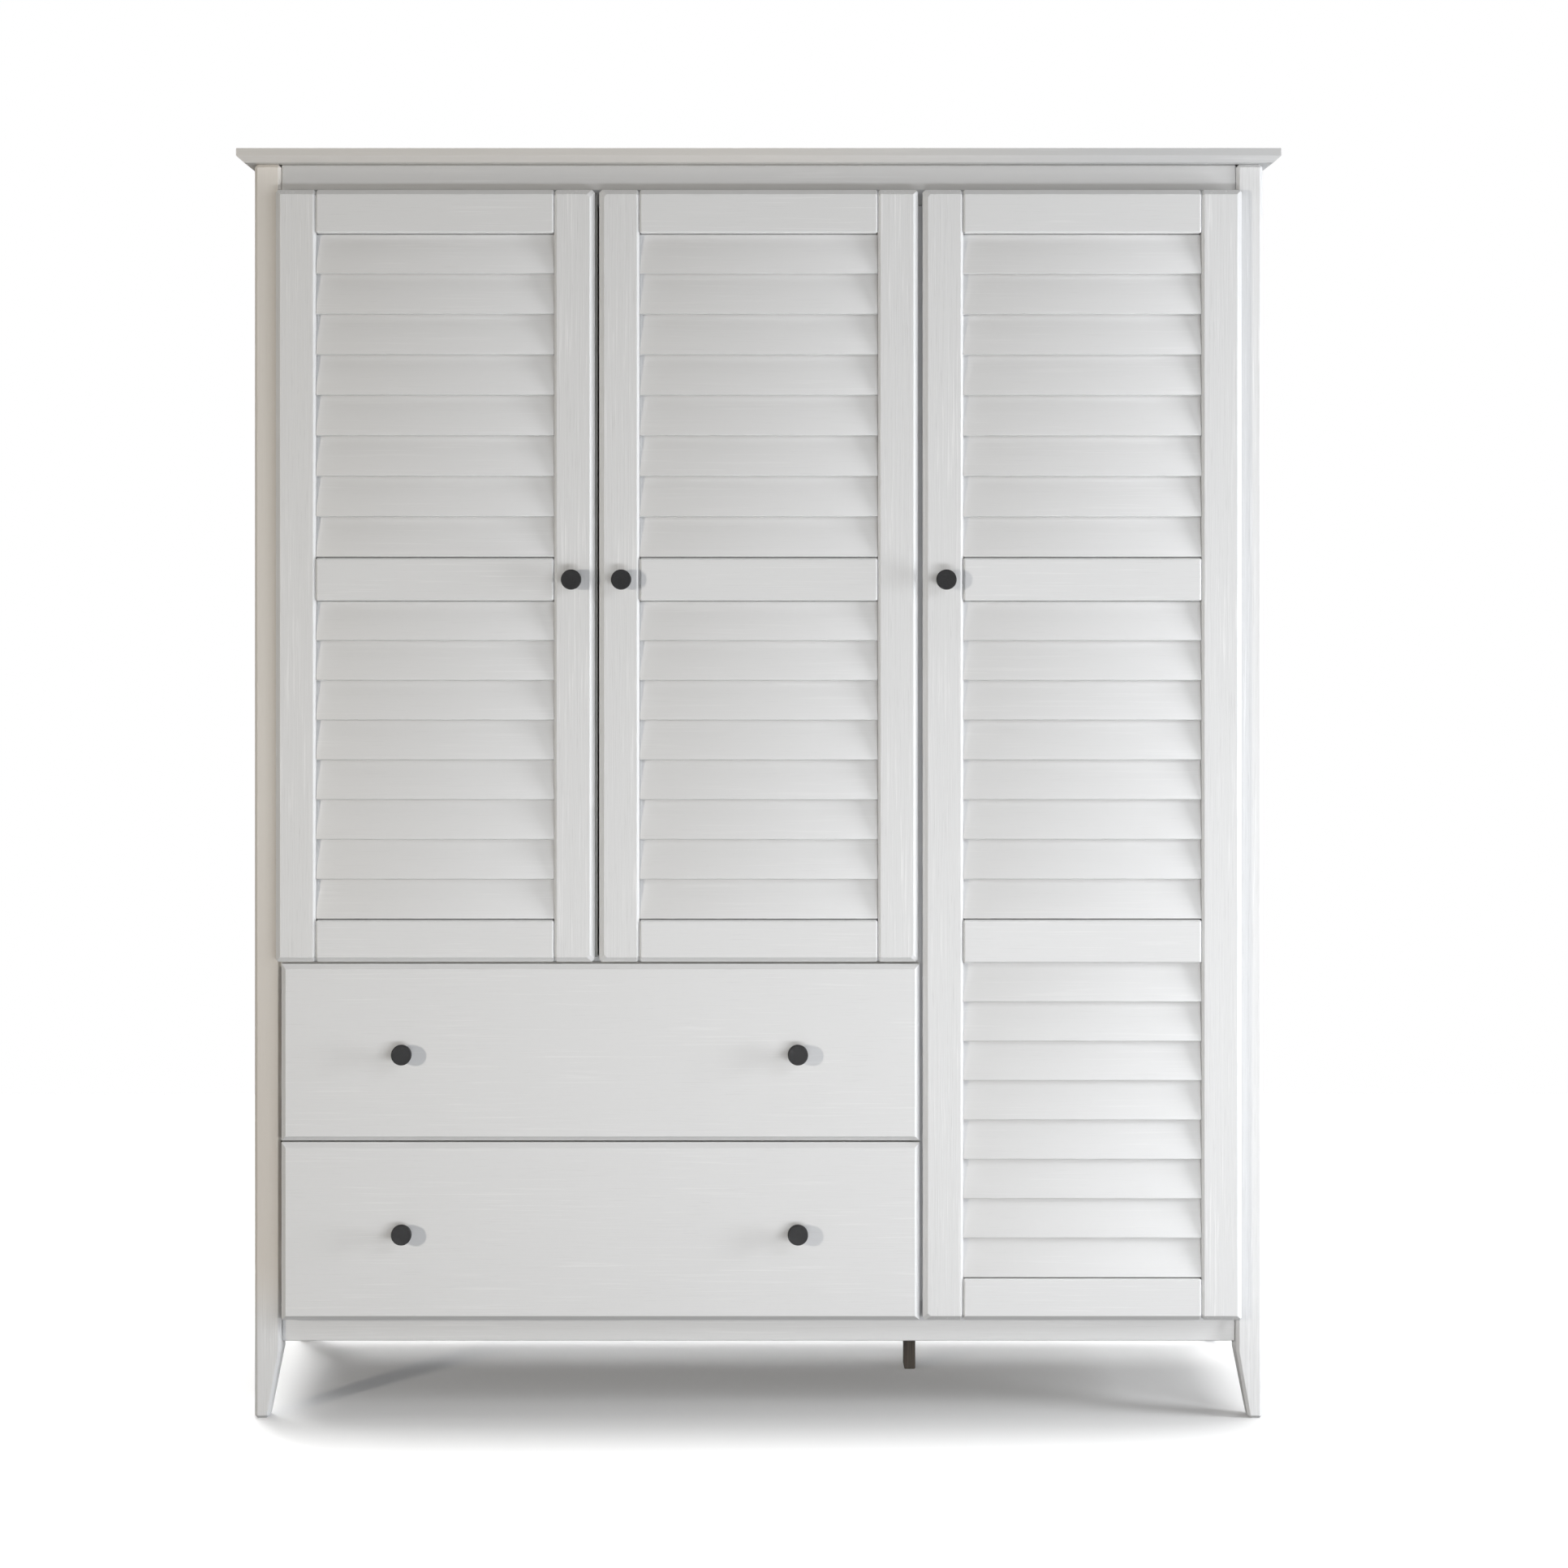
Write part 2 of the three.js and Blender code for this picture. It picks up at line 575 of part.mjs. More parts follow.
/** A closed drawer in a group whose origin is at the middle of its front face, at floor height. */
function buildDrawer(name, drawer) {
  const group = new THREE.Group();
  const width = DRAWER_FRONT_RIGHT - DRAWER_FRONT_LEFT;
  group.position.set((DRAWER_FRONT_RIGHT + DRAWER_FRONT_LEFT) / 2, FRONT_FACE, 0);

  const middleZ = (drawer.top + drawer.bottom) / 2;
  const front = frontPiece(width, drawer.top - drawer.bottom, ['left', 'right', 'top', 'bottom']);
  group.add(piece(`${name}_front`, front, 'paint', [0, 0, middleZ]));
  group.add(knob(`${name}_knob_left`, [-DRAWER_KNOB_OFFSET, 0, middleZ]));
  group.add(knob(`${name}_knob_right`, [DRAWER_KNOB_OFFSET, 0, middleZ]));

  const boxLeft = -POST_INNER_X + DRAWER_RUNNER_SPACE;
  const boxRight = PARTITION_LEFT - DRAWER_RUNNER_SPACE;
  const boxX = (boxLeft + boxRight) / 2 - group.position.x;
  const boxY = FRONT_THICKNESS + JOINT_GAP;
  const halfWidth = (boxRight - boxLeft) / 2;
  group.add(piece(`${name}_box`, drawerRing(halfWidth), 'pine', [boxX, boxY, drawer.boxBottom]));

  const inset = DRAWER_SIDE_THICKNESS + JOINT_GAP;
  const bottomZ = drawer.boxBottom + DRAWER_BOTTOM_RISE;
  const low = [boxX - halfWidth + inset, boxY + inset, bottomZ];
  const backY = boxY + DRAWER_BOX_DEPTH - inset;
  const high = [boxX + halfWidth - inset, backY, bottomZ + DRAWER_BOTTOM_THICKNESS];
  group.add(board(`${name}_bottom`, low, high, 'ply'));
  return group;
}

// ---------------------------------------------------------------------------------------------
// Assembly
// ---------------------------------------------------------------------------------------------

const armoire = new THREE.Group();
const carcass = buildCarcass();
armoire.add(carcass);
for (const door of DOORS) {
  carcass.add(...hingeArms(door));
  armoire.add(buildDoor(door));
}
for (const [name, drawer] of Object.entries(DRAWERS)) {
  armoire.add(buildDrawer(name, drawer));
}

export default armoire;
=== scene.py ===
"""The finished look of a painted armoire with louvred doors and wide drawers.

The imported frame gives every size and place. Units are metres, +Z is up, +X is to the right seen from
the front, and the front faces -Y. Each sub-assembly below is a class that builds its own pieces, and
each finish is a frozen dataclass that builds its own material.
"""

import logging
import math
from collections.abc import Iterable, Sequence
from dataclasses import dataclass, field
from enum import Enum

import bmesh
import bpy
from mathutils import Matrix, Vector


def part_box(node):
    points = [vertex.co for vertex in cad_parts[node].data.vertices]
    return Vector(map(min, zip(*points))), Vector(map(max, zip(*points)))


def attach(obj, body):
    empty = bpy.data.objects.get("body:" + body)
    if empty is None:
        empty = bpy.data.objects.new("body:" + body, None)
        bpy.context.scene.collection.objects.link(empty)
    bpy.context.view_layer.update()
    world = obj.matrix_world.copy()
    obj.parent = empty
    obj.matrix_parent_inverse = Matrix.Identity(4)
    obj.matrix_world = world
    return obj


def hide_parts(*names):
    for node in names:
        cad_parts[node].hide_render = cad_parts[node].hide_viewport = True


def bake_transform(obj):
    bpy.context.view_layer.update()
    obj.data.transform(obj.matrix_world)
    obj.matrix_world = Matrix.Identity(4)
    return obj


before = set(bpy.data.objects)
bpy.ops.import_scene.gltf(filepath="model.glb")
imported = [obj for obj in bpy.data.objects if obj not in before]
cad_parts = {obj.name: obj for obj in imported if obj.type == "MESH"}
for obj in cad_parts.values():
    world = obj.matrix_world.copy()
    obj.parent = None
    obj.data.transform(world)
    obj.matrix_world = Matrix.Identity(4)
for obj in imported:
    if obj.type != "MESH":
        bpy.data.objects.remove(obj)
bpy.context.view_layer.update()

log = logging.getLogger("armoire")

CARCASS = "carcass"
MM = 0.001
FULL_TURN = 2.0 * math.pi
CORNER_ANGLE = 0.5
SMOOTH_ANGLE = math.radians(35.0)
SAME_POINT = 1e-7

Colour = tuple[float, float, float, float]
Pair = tuple[float, float]
Point = Sequence[float]
Outline = Sequence[Pair]


# ---------------------------------------------------------------------------------------------
# Shader building
# ---------------------------------------------------------------------------------------------


class Value:
    """A number socket of a shader. Arithmetic on it adds Math nodes."""

    def __init__(self, shader: "Shader", socket: bpy.types.NodeSocket) -> None:
        """Wraps a socket.

        Args:
            shader: The shader that the socket belongs to.
            socket: The output socket that holds the number.
        """
        self.shader = shader
        self.socket = socket

    def _math(self, operation: str, first: "Value | float", second: "Value | float" = 0.0) -> "Value":
        """Adds a Math node and returns its result."""
        made = self.shader.node("ShaderNodeMath", {"operation": operation}, {0: first, 1: second})
        return Value(self.shader, made.outputs[0])

    def __add__(self, other: "Value | float") -> "Value":
        """self + other."""
        return self._math("ADD", self, other)

    def __radd__(self, other: float) -> "Value":
        """other + self."""
        return self._math("ADD", other, self)

    def __sub__(self, other: "Value | float") -> "Value":
        """self - other."""
        return self._math("SUBTRACT", self, other)

    def __rsub__(self, other: float) -> "Value":
        """other - self."""
        return self._math("SUBTRACT", other, self)

    def __mul__(self, other: "Value | float") -> "Value":
        """self * other."""
        return self._math("MULTIPLY", self, other)

    def __rmul__(self, other: float) -> "Value":
        """other * self."""
        return self._math("MULTIPLY", other, self)

    def sine(self) -> "Value":
        """The sine of the number, in radians."""
        return self._math("SINE", self)

    def between(self, low: float, high: float) -> "Value":
        """Rises smoothly from 0 at low to 1 at high.

        Args:
            low: The number that gives 0.
            high: The number that gives 1.

        Returns:
            The smooth step, clamped to 0..1.
        """
        made = self.shader.node(
            "ShaderNodeMapRange",
            {"interpolation_type": "SMOOTHSTEP"},
            {"Value": self, "From Min": low, "From Max": high},
        )
        return Value(self.shader, made.outputs[0])


class Shader:
    """A material under construction. Its patterns are read from Object coordinates."""

    def __init__(self, name: str) -> None:
        """Starts an empty material.

        Args:
            name: The material's name.
        """
        self.material = bpy.data.materials.new(name)
        self.material.use_nodes = True
        self.tree = self.material.node_tree
        self.tree.nodes.clear()
        self.place = self.node("ShaderNodeTexCoord", {}, {}).outputs["Object"]

    def node(
        self,
        kind: str,
        settings: dict[str, object],
        inputs: dict[int | str, object],
    ) -> bpy.types.Node:
        """Adds one node.

        Args:
            kind: The node's type name.
            settings: The node's own settings, set before its sockets.
            inputs: A number, colour, socket or Value for each input socket.

        Returns:
            The new node.
        """
        made = self.tree.nodes.new(kind)
        for name, setting in settings.items():
            setattr(made, name, setting)
        for key, given in inputs.items():
            source = given.socket if isinstance(given, Value) else given
            if isinstance(source, bpy.types.NodeSocket):
                self.tree.links.new(source, made.inputs[key])
            else:
                made.inputs[key].default_value = source
        return made

    def noise(self, scale: Point, detail: float = 2.0, roughness: float = 0.5) -> Value:
        """Noise stretched along the axes.

        Args:
            scale: The number of features in a metre along X, Y and Z.
            detail: How many finer layers are added.
            roughness: How strong the finer layers are.

        Returns:
            The noise, about 0.5 on average.
        """
        mapping = self.node("ShaderNodeMapping", {}, {"Vector": self.place, "Scale": tuple(scale)})
        texture = self.node(
            "ShaderNodeTexNoise",
            {"noise_dimensions": "3D"},
            {"Vector": mapping.outputs[0], "Scale": 1.0, "Detail": detail, "Roughness": roughness},
        )
        return Value(self, texture.outputs[0])

    def position(self, axis: str) -> Value:
        """The position along the axis X, Y or Z, in metres."""
        return Value(self, self.node("ShaderNodeSeparateXYZ", {}, {0: self.place}).outputs[axis])

    def mix(self, factor: Value, first: object, second: object) -> bpy.types.NodeSocket:
        """Mixes two colours.

        Args:
            factor: 0 gives the first colour and 1 the second.
            first: A colour or a colour socket.
            second: A colour or a colour socket.

        Returns:
            The mixed colour's socket.
        """
        inputs = {"Factor": factor, 6: first, 7: second}
        return self.node("ShaderNodeMix", {"data_type": "RGBA"}, inputs).outputs[2]

    def bump(self, height: Value, strength: float, distance: float) -> bpy.types.NodeSocket:
        """Turns a height into a normal.

        Args:
            height: The height, 0 to 1.
            strength: How much of the relief shows.
            distance: The relief's depth in metres.

        Returns:
            The normal's socket.
        """
        inputs = {"Strength": strength, "Distance": distance, "Height": height}
        return self.node("ShaderNodeBump", {}, inputs).outputs[0]

    def finish(self, **sockets: object) -> bpy.types.Material:
        """Ends the material in a Principled BSDF.

        Args:
            **sockets: The BSDF's inputs, with underscores for the spaces in their names.

        Returns:
            The finished material.
        """
        inputs = {name.replace("_", " "): given for name, given in sockets.items()}
        shader = self.node("ShaderNodeBsdfPrincipled", {}, inputs)
        self.node("ShaderNodeOutputMaterial", {}, {"Surface": shader.outputs[0]})
        return self.material


class Grain(Enum):
    """The direction that a board's fibres run in."""

    ACROSS = (1.0, 0.0, 0.0)
    DEEP = (0.0, 1.0, 0.0)
    UPRIGHT = (0.0, 0.0, 1.0)

    def scale(self, along: float, across: float) -> tuple[float, ...]:
        """Noise scale with `along` features in a metre of fibre and `across` features over it."""
        return tuple(along if part else across for part in self.value)


# ---------------------------------------------------------------------------------------------
# Finishes
# ---------------------------------------------------------------------------------------------


@dataclass(frozen=True)
class BrushedPaint:
    """Satin white paint brushed over open-grained wood, so the fibres show as fine streaks.

    Towards the left side and above the feet the paint is tinted warm as painted warm light, and low down
    it is darkened further as painted shade; the painted light amount sets how strong both are.
    """

    grain: Grain
    relief: float = 1.0
    body: Colour = (0.705, 0.708, 0.712, 1.0)
    crest: Colour = (0.80, 0.802, 0.806, 1.0)
    hollow: Colour = (0.585, 0.585, 0.588, 1.0)
    # Colours of the painted warm light and of the painted shade, and where on the armoire they fall.
    painted_warm_light: Colour = (0.770, 0.725, 0.665, 1.0)
    wear_and_shade: Colour = (0.600, 0.555, 0.505, 1.0)
    age: float = 0.0
    warm_light_fades_towards: Pair = (-0.1, 0.6)
    warm_light_starts_above: Pair = (0.12, 0.24)
    painted_shade_below: Pair = (0.35, 1.0)

    def material(self, name: str) -> bpy.types.Material:
        """Builds the material.

        Args:
            name: The material's name.

        Returns:
            The brushed paint.
        """
        shader = Shader(name)
        strokes = shader.noise(self.grain.scale(6.0, 300.0), 3.0, 0.62)
        fibres = shader.noise(self.grain.scale(17.0, 760.0), 2.0, 0.6)
        figure = shader.noise(self.grain.scale(1.4, 48.0), 2.0)
        patches = shader.noise(self.grain.scale(5.0, 16.0), 1.0)
        open_grain = strokes.between(0.54, 0.66) * patches.between(0.38, 0.60)
        pores = fibres.between(0.58, 0.70) * (1.0 - patches.between(0.45, 0.75))
        tone = shader.mix(open_grain * (0.85 * self.relief), self.body, self.crest)
        tone = shader.mix(pores * (0.50 * self.relief), tone, self.hollow)
        # Painted warm light: a warm tint towards the left above the feet. Painted shade: a further darkening
        # low down.
        if self.age > 0.0:
            across = shader.position("X")
            above = shader.position("Z")
            leftward = 1.0 - across.between(*self.warm_light_fades_towards)
            painted_light_mask = leftward * above.between(*self.warm_light_starts_above) * self.age
            shade_low_down = 1.0 - above.between(*self.painted_shade_below)
            tone = shader.mix(painted_light_mask, tone, self.painted_warm_light)
            tone = shader.mix(painted_light_mask * shade_low_down * 0.8, tone, self.wear_and_shade)
        height = strokes * 0.5 + fibres * 0.3 + figure * 0.6
        return shader.finish(
            Base_Color=tone,
            Roughness=0.40 + strokes * 0.16,
            Normal=shader.bump(height, 0.6 * self.relief, 0.0008),
        )


@dataclass(frozen=True)
class ClearPine:
    """Pale softwood under a clear matt lacquer, with soft growth rings."""

    grain: Grain
    early: Colour = (0.70, 0.53, 0.33, 1.0)
    late: Colour = (0.50, 0.31, 0.15, 1.0)

    def material(self, name: str) -> bpy.types.Material:
        """Builds the material.

        Args:
            name: The material's name.

        Returns:
            The lacquered pine.
        """
        shader = Shader(name)
        figure = shader.noise(self.grain.scale(0.9, 11.0), 2.0, 0.45)
        rings = (figure * 95.0).sine().between(-0.2, 1.0)
        fibres = shader.noise(self.grain.scale(16.0, 700.0), 3.0, 0.6)
        tone = shader.mix(rings * 0.42, self.early, self.late)
        tone = shader.mix(fibres.between(0.52, 0.75) * 0.25, tone, self.late)
        return shader.finish(
            Base_Color=tone,
            Roughness=0.48 + fibres * 0.2,
            Normal=shader.bump(rings * 0.3 + fibres * 0.7, 0.3, 0.0004),
        )


@dataclass(frozen=True)
class PlainPly:
    """Thin plywood, primed pale, with a faint veneer figure."""

    grain: Grain
    face: Colour = (0.66, 0.62, 0.55, 1.0)
    vein: Colour = (0.50, 0.45, 0.37, 1.0)

    def material(self, name: str) -> bpy.types.Material:
        """Builds the material.

        Args:
            name: The material's name.

        Returns:
            The primed plywood.
        """
        shader = Shader(name)
        figure = shader.noise(self.grain.scale(0.7, 14.0), 3.0, 0.5)
        veins = (figure * 60.0).sine().between(0.1, 1.0)
        fibres = shader.noise(self.grain.scale(22.0, 640.0), 2.0, 0.6)
        tone = shader.mix(veins * 0.35, self.face, self.vein)
        return shader.finish(
            Base_Color=tone,
            Roughness=0.58 + fibres * 0.2,
            Normal=shader.bump(fibres, 0.25, 0.0003),
        )


@dataclass(frozen=True)
class DarkStain:
    """Rough timber under a dark matt stain."""

    grain: Grain
    body: Colour = (0.060, 0.050, 0.040, 1.0)
    wear_and_shade: Colour = (0.130, 0.105, 0.080, 1.0)

    def material(self, name: str) -> bpy.types.Material:
        """Builds the material.

        Args:
            name: The material's name.

        Returns:
            The stained timber.
        """
        shader = Shader(name)
        fibres = shader.noise(self.grain.scale(12.0, 420.0), 4.0, 0.65)
        return shader.finish(
            Base_Color=shader.mix(fibres.between(0.45, 0.75), self.body, self.wear_and_shade),
            Roughness=0.62 + fibres * 0.25,
            Normal=shader.bump(fibres, 0.6, 0.0006),
        )


@dataclass(frozen=True)
class CharcoalCasting:
    """Cast metal with a charcoal satin coat and a faint turned texture."""

    body: Colour = (0.015, 0.015, 0.016, 1.0)
    rubbed: Colour = (0.030, 0.030, 0.032, 1.0)

    def material(self, name: str) -> bpy.types.Material:
        """Builds the material.

        Args:
            name: The material's name.

        Returns:
            The coated casting.
        """
        shader = Shader(name)
        speckle = shader.noise((1500.0, 1500.0, 1500.0), 2.0, 0.6)
        lay = shader.noise((900.0, 900.0, 90.0), 2.0)
        return shader.finish(
            Base_Color=shader.mix(speckle.between(0.45, 0.8), self.body, self.rubbed),
            Specular_IOR_Level=0.25,
            Roughness=0.46 + lay * 0.2,
            Normal=shader.bump(speckle * 0.6 + lay * 0.4, 0.25, 0.0002),
        )


@dataclass(frozen=True)
class NickelPlate:
    """Bright nickel on pressed steel, lightly brushed along one axis."""

    lay: Grain
    body: Colour = (0.60, 0.60, 0.59, 1.0)
    dull: Colour = (0.44, 0.44, 0.45, 1.0)

    def material(self, name: str) -> bpy.types.Material:
        """Builds the material.

        Args:
            name: The material's name.

        Returns:
            The nickel plate.
        """
        shader = Shader(name)
        brush = shader.noise(self.lay.scale(30.0, 1600.0), 2.0, 0.6)
        smudge = shader.noise((45.0, 45.0, 45.0), 2.0)
        return shader.finish(
            Base_Color=shader.mix(smudge.between(0.4, 0.75) * 0.6, self.body, self.dull),
            Metallic=1.0,
            Roughness=0.20 + brush * 0.18 + smudge * 0.08,
            Normal=shader.bump(brush, 0.12, 0.0001),
        )


@dataclass(frozen=True)
class MouldedNylon:
    """Moulded plastic with a fine matt texture."""

    body: Colour
    shade: Colour

    def material(self, name: str) -> bpy.types.Material:
        """Builds the material.

        Args:
            name: The material's name.

        Returns:
            The moulded plastic.
        """
        shader = Shader(name)
        texture = shader.noise((1900.0, 1900.0, 1900.0), 2.0)
        flow = shader.noise((60.0, 60.0, 60.0), 2.0)
        return shader.finish(
            Base_Color=shader.mix(flow.between(0.35, 0.75) * 0.5, self.body, self.shade),
            Roughness=0.44 + texture * 0.15,
            Normal=shader.bump(texture, 0.2, 0.0001),
        )


# Darker paint for the top board and frieze: painted shade for the dimmer top of the armoire.
SHADED_CROWN_BODY = (0.57, 0.572, 0.575, 1.0)
SHADED_CROWN_CREST = (0.65, 0.652, 0.656, 1.0)


class Finish(Enum):
    """The finishes of the armoire, each with its look and a material slot name, if it has one, which nothing
    here reads.
    """

    PAINT_UPRIGHT = (BrushedPaint(Grain.UPRIGHT), "white_paint")
    PAINT_ACROSS = (BrushedPaint(Grain.ACROSS, 0.5), "white_paint")
    # The next two paints carry painted warm light and painted shade towards the left, and the crown paints
    # are darker as painted shade.
    PAINT_WARM_LIT_UPRIGHT = (BrushedPaint(Grain.UPRIGHT, age=0.75), "white_paint")
    PAINT_WARM_LIT_ACROSS = (BrushedPaint(Grain.ACROSS, 0.5, SHADED_CROWN_BODY, SHADED_CROWN_CREST, age=0.45), "white_paint")
    PAINT_SHADED_CROWN = (BrushedPaint(Grain.ACROSS, 0.5, SHADED_CROWN_BODY, SHADED_CROWN_CREST), "white_paint")
    PAINT_SLAT = (BrushedPaint(Grain.ACROSS, 0.3), "white_paint")
    PINE_ACROSS = (ClearPine(Grain.ACROSS), "drawer_pine")
    PINE_DEEP = (ClearPine(Grain.DEEP), "drawer_pine")
    PLY_UPRIGHT = (PlainPly(Grain.UPRIGHT), "ply")
    PLY_ACROSS = (PlainPly(Grain.ACROSS), "ply")
    STAIN = (DarkStain(Grain.UPRIGHT), "dark_wood")
    CHARCOAL = (CharcoalCasting(), "knob")
    NICKEL_ACROSS = (NickelPlate(Grain.ACROSS), "steel")
    NICKEL_DEEP = (NickelPlate(Grain.DEEP), "steel")
    NYLON_WHITE = (MouldedNylon((0.62, 0.61, 0.58, 1.0), (0.52, 0.51, 0.47, 1.0)), None)
    RUBBER_GREY = (MouldedNylon((0.30, 0.30, 0.29, 1.0), (0.24, 0.24, 0.23, 1.0)), None)
    # Near-black plastic that stands on screw heads as painted shade for their cross recesses.
    PAINTED_RECESS_SHADE = (MouldedNylon((0.03, 0.03, 0.03, 1.0), (0.02, 0.02, 0.02, 1.0)), None)


class Palette:
    """Builds each finish's material once."""

    def __init__(self) -> None:
        """Starts with no material built."""
        self._made: dict[Finish, bpy.types.Material] = {}

    def of(self, finish: Finish) -> bpy.types.Material:
        """Gives the material of a finish, and builds it when it is first asked for.

        Args:
            finish: The finish.

        Returns:
            The finish's material.
        """
        if finish not in self._made:
            look, _ = finish.value
            self._made[finish] = look.material(finish.name.lower())
        return self._made[finish]


PALETTE = Palette()


# ---------------------------------------------------------------------------------------------
# Mesh building
# ---------------------------------------------------------------------------------------------


def facing(direction: Point) -> Matrix:
    """The turn that points local +Z along a direction."""
    return Vector((0.0, 0.0, 1.0)).rotation_difference(Vector(direction)).to_matrix().to_4x4()


def arc(centre: Pair, radius: float, start: float, end: float, steps: int) -> list[Pair]:
    """Points on an arc of a turned profile.

    Args:
        centre: The arc's centre as (radius, height).
        radius: The arc's radius.
        start: The first angle in degrees, 0 along +radius and 90 along +height.
        end: The last angle in degrees.
        steps: The number of stretches between the points.

    Returns:
        The points as (radius, height) pairs.
    """
    angles = [math.radians(start + (end - start) * step / steps) for step in range(steps + 1)]
    return [(centre[0] + radius * math.cos(a), centre[1] + radius * math.sin(a)) for a in angles]


class Shape:
    """A mesh under construction, made of closed solids that stand where they belong in the armoire."""

    def __init__(self) -> None:
        """Starts with no solid."""
        self.mesh = bmesh.new()
        self.finishes: list[Finish] = []

    def _absorb(self, solid: bmesh.types.BMesh, finish: Finish, place: Matrix, smooth: bool) -> "Shape":
        """Moves a finished solid into this mesh, and gives it its place and its finish.

        Args:
            solid: The solid, which is used up.
            finish: Its finish.
            place: Where it goes.
            smooth: Whether its faces are shaded smooth.

        Returns:
            This shape.
        """
        if finish not in self.finishes:
            self.finishes.append(finish)
        for face in solid.faces:
            face.material_index = self.finishes.index(finish)
            face.smooth = smooth
        bmesh.ops.transform(solid, matrix=place, verts=solid.verts)
        carrier = bpy.data.meshes.new("carrier")
        solid.to_mesh(carrier)
        solid.free()
        self.mesh.from_mesh(carrier)
        bpy.data.meshes.remove(carrier)
        return self

    def block(
        self,
        low: Point,
        high: Point,
        finish: Finish,
        arris: float = 0.0,
        place: Matrix | None = None,
        cuts: int = 0,
    ) -> "Shape":
        """Adds a block with rounded edges.

        Args:
            low: The lowest corner, before the place is applied.
            high: The highest corner, before the place is applied.
            finish: The block's finish.
            arris: The radius of the rounded edges, or 0 for sharp ones.
            place: Where the block goes, or None to leave it between its corners.
            cuts: How many rings divide the block along its longest side.

        Returns:
            This shape.
        """
        solid = bmesh.new()
        size = Vector(high) - Vector(low)
        bmesh.ops.create_cube(solid, size=1.0)
        if cuts:
            longest = max(range(3), key=lambda axis: size[axis])
            long_edges = [e for e in solid.edges if abs((e.verts[0].co - e.verts[1].co)[longest]) > 0.5]
            bmesh.ops.subdivide_edges(solid, edges=long_edges, cuts=cuts, use_grid_fill=True)
        bmesh.ops.scale(solid, vec=size, verts=solid.verts)
        bmesh.ops.translate(solid, vec=(Vector(low) + Vector(high)) / 2.0, verts=solid.verts)
        if arris:
            corners = [e for e in solid.edges if e.calc_face_angle(0.0) > CORNER_ANGLE]
            bmesh.ops.bevel(
                solid,
                geom=corners,
                offset=arris,
                offset_type="OFFSET",
                segments=3,
                profile=0.5,
                affect="EDGES",
                material=-1,
                clamp_overlap=True,
            )
        return self._absorb(solid, finish, place or Matrix.Identity(4), False)

    def turned(
        self,
        profile: Outline,
        finish: Finish,
        centre: Point,
        direction: Point,
        steps: int = 48,
        ring: bool = False,
    ) -> "Shape":
        """Adds a turned solid.

        Args:
            profile: Points as (radius, height). A solid piece starts and ends on the axis.
            finish: The solid's finish.
            centre: Where the axis meets height 0.
            direction: Which way the height goes.
            steps: The number of faces round the axis.
            ring: Whether the profile closes on itself, round a hole.

        Returns:
            This shape.
        """
        solid = bmesh.new()
        points = [solid.verts.new((radius, 0.0, height)) for radius, height in profile]
        pairs = list(zip(points, points[1:]))
        if ring:
            pairs.append((points[-1], points[0]))
        lines = [solid.edges.new(pair) for pair in pairs]
        bmesh.ops.spin(
            solid,
            geom=points + lines,
            cent=(0.0, 0.0, 0.0),
            axis=(0.0, 0.0, 1.0),
            dvec=(0.0, 0.0, 0.0),
            angle=FULL_TURN,
            steps=steps,
            use_merge=True,
        )
        bmesh.ops.remove_doubles(solid, verts=solid.verts, dist=SAME_POINT)
        bmesh.ops.recalc_face_normals(solid, faces=solid.faces)
        return self._absorb(solid, finish, Matrix.Translation(Vector(centre)) @ facing(direction), True)

    def channel(self, outline: Outline, start: float, end: float, wall: float, finish: Finish) -> "Shape":
        """Adds a folded strip that runs along Y.

        Args:
            outline: The strip's centreline as (x, z) points.
            start: The y where it starts.
            end: The y where it ends.
            wall: The strip's thickness.
            finish: The strip's finish.

        Returns:
            This shape.
        """
        solid = bmesh.new()
        points = [solid.verts.new((x, start, z)) for x, z in outline]
        lines = [solid.edges.new(pair) for pair in zip(points, points[1:])]
        grown = bmesh.ops.extrude_edge_only(solid, edges=lines)
        moved = [v for v in grown["geom"] if isinstance(v, bmesh.types.BMVert)]
        bmesh.ops.translate(solid, vec=(0.0, end - start, 0.0), verts=moved)
        bmesh.ops.recalc_face_normals(solid, faces=solid.faces)
        bmesh.ops.solidify(solid, geom=solid.faces[:], thickness=wall)
        bmesh.ops.recalc_face_normals(solid, faces=solid.faces)
        return self._absorb(solid, finish, Matrix.Identity(4), False)

    def screw(
        self,
        centre: Point,
        direction: Point,
        radius: float = 3.5 * MM,
        dome: float = 1.6 * MM,
    ) -> "Shape":
        """Adds a pan-head screw whose cross recess is painted shade: a near-black cross laid on the head.

        Args:
            centre: The middle of the head's seat.
            direction: Which way the head stands out.
            radius: The head's radius.
            dome: The head's height.

        Returns:
            This shape.
        """
        profile = [(0.0, 0.0), (radius, 0.0)]
        profile += arc((radius - dome, 0.0), dome, 8.0, 90.0, 5)
        profile += [(0.45 * radius, dome), (0.0, dome)]
        self.turned(profile, Finish.NICKEL_ACROSS, centre, direction, 20)
        place = Matrix.Translation(Vector(centre)) @ facing(direction)
        slot_reach = 0.6 * radius
        slot_half = 0.13 * radius
        # No recess is cut: two near-black blocks on the head are painted shade for the cross recess.
        for reach_x, reach_y in ((slot_reach, slot_half), (slot_half, slot_reach)):
            low = (-reach_x, -reach_y, 0.5 * dome)
            high = (reach_x, reach_y, dome + 0.05 * MM)
            self.block(low, high, Finish.PAINTED_RECESS_SHADE, place=place)
        return self

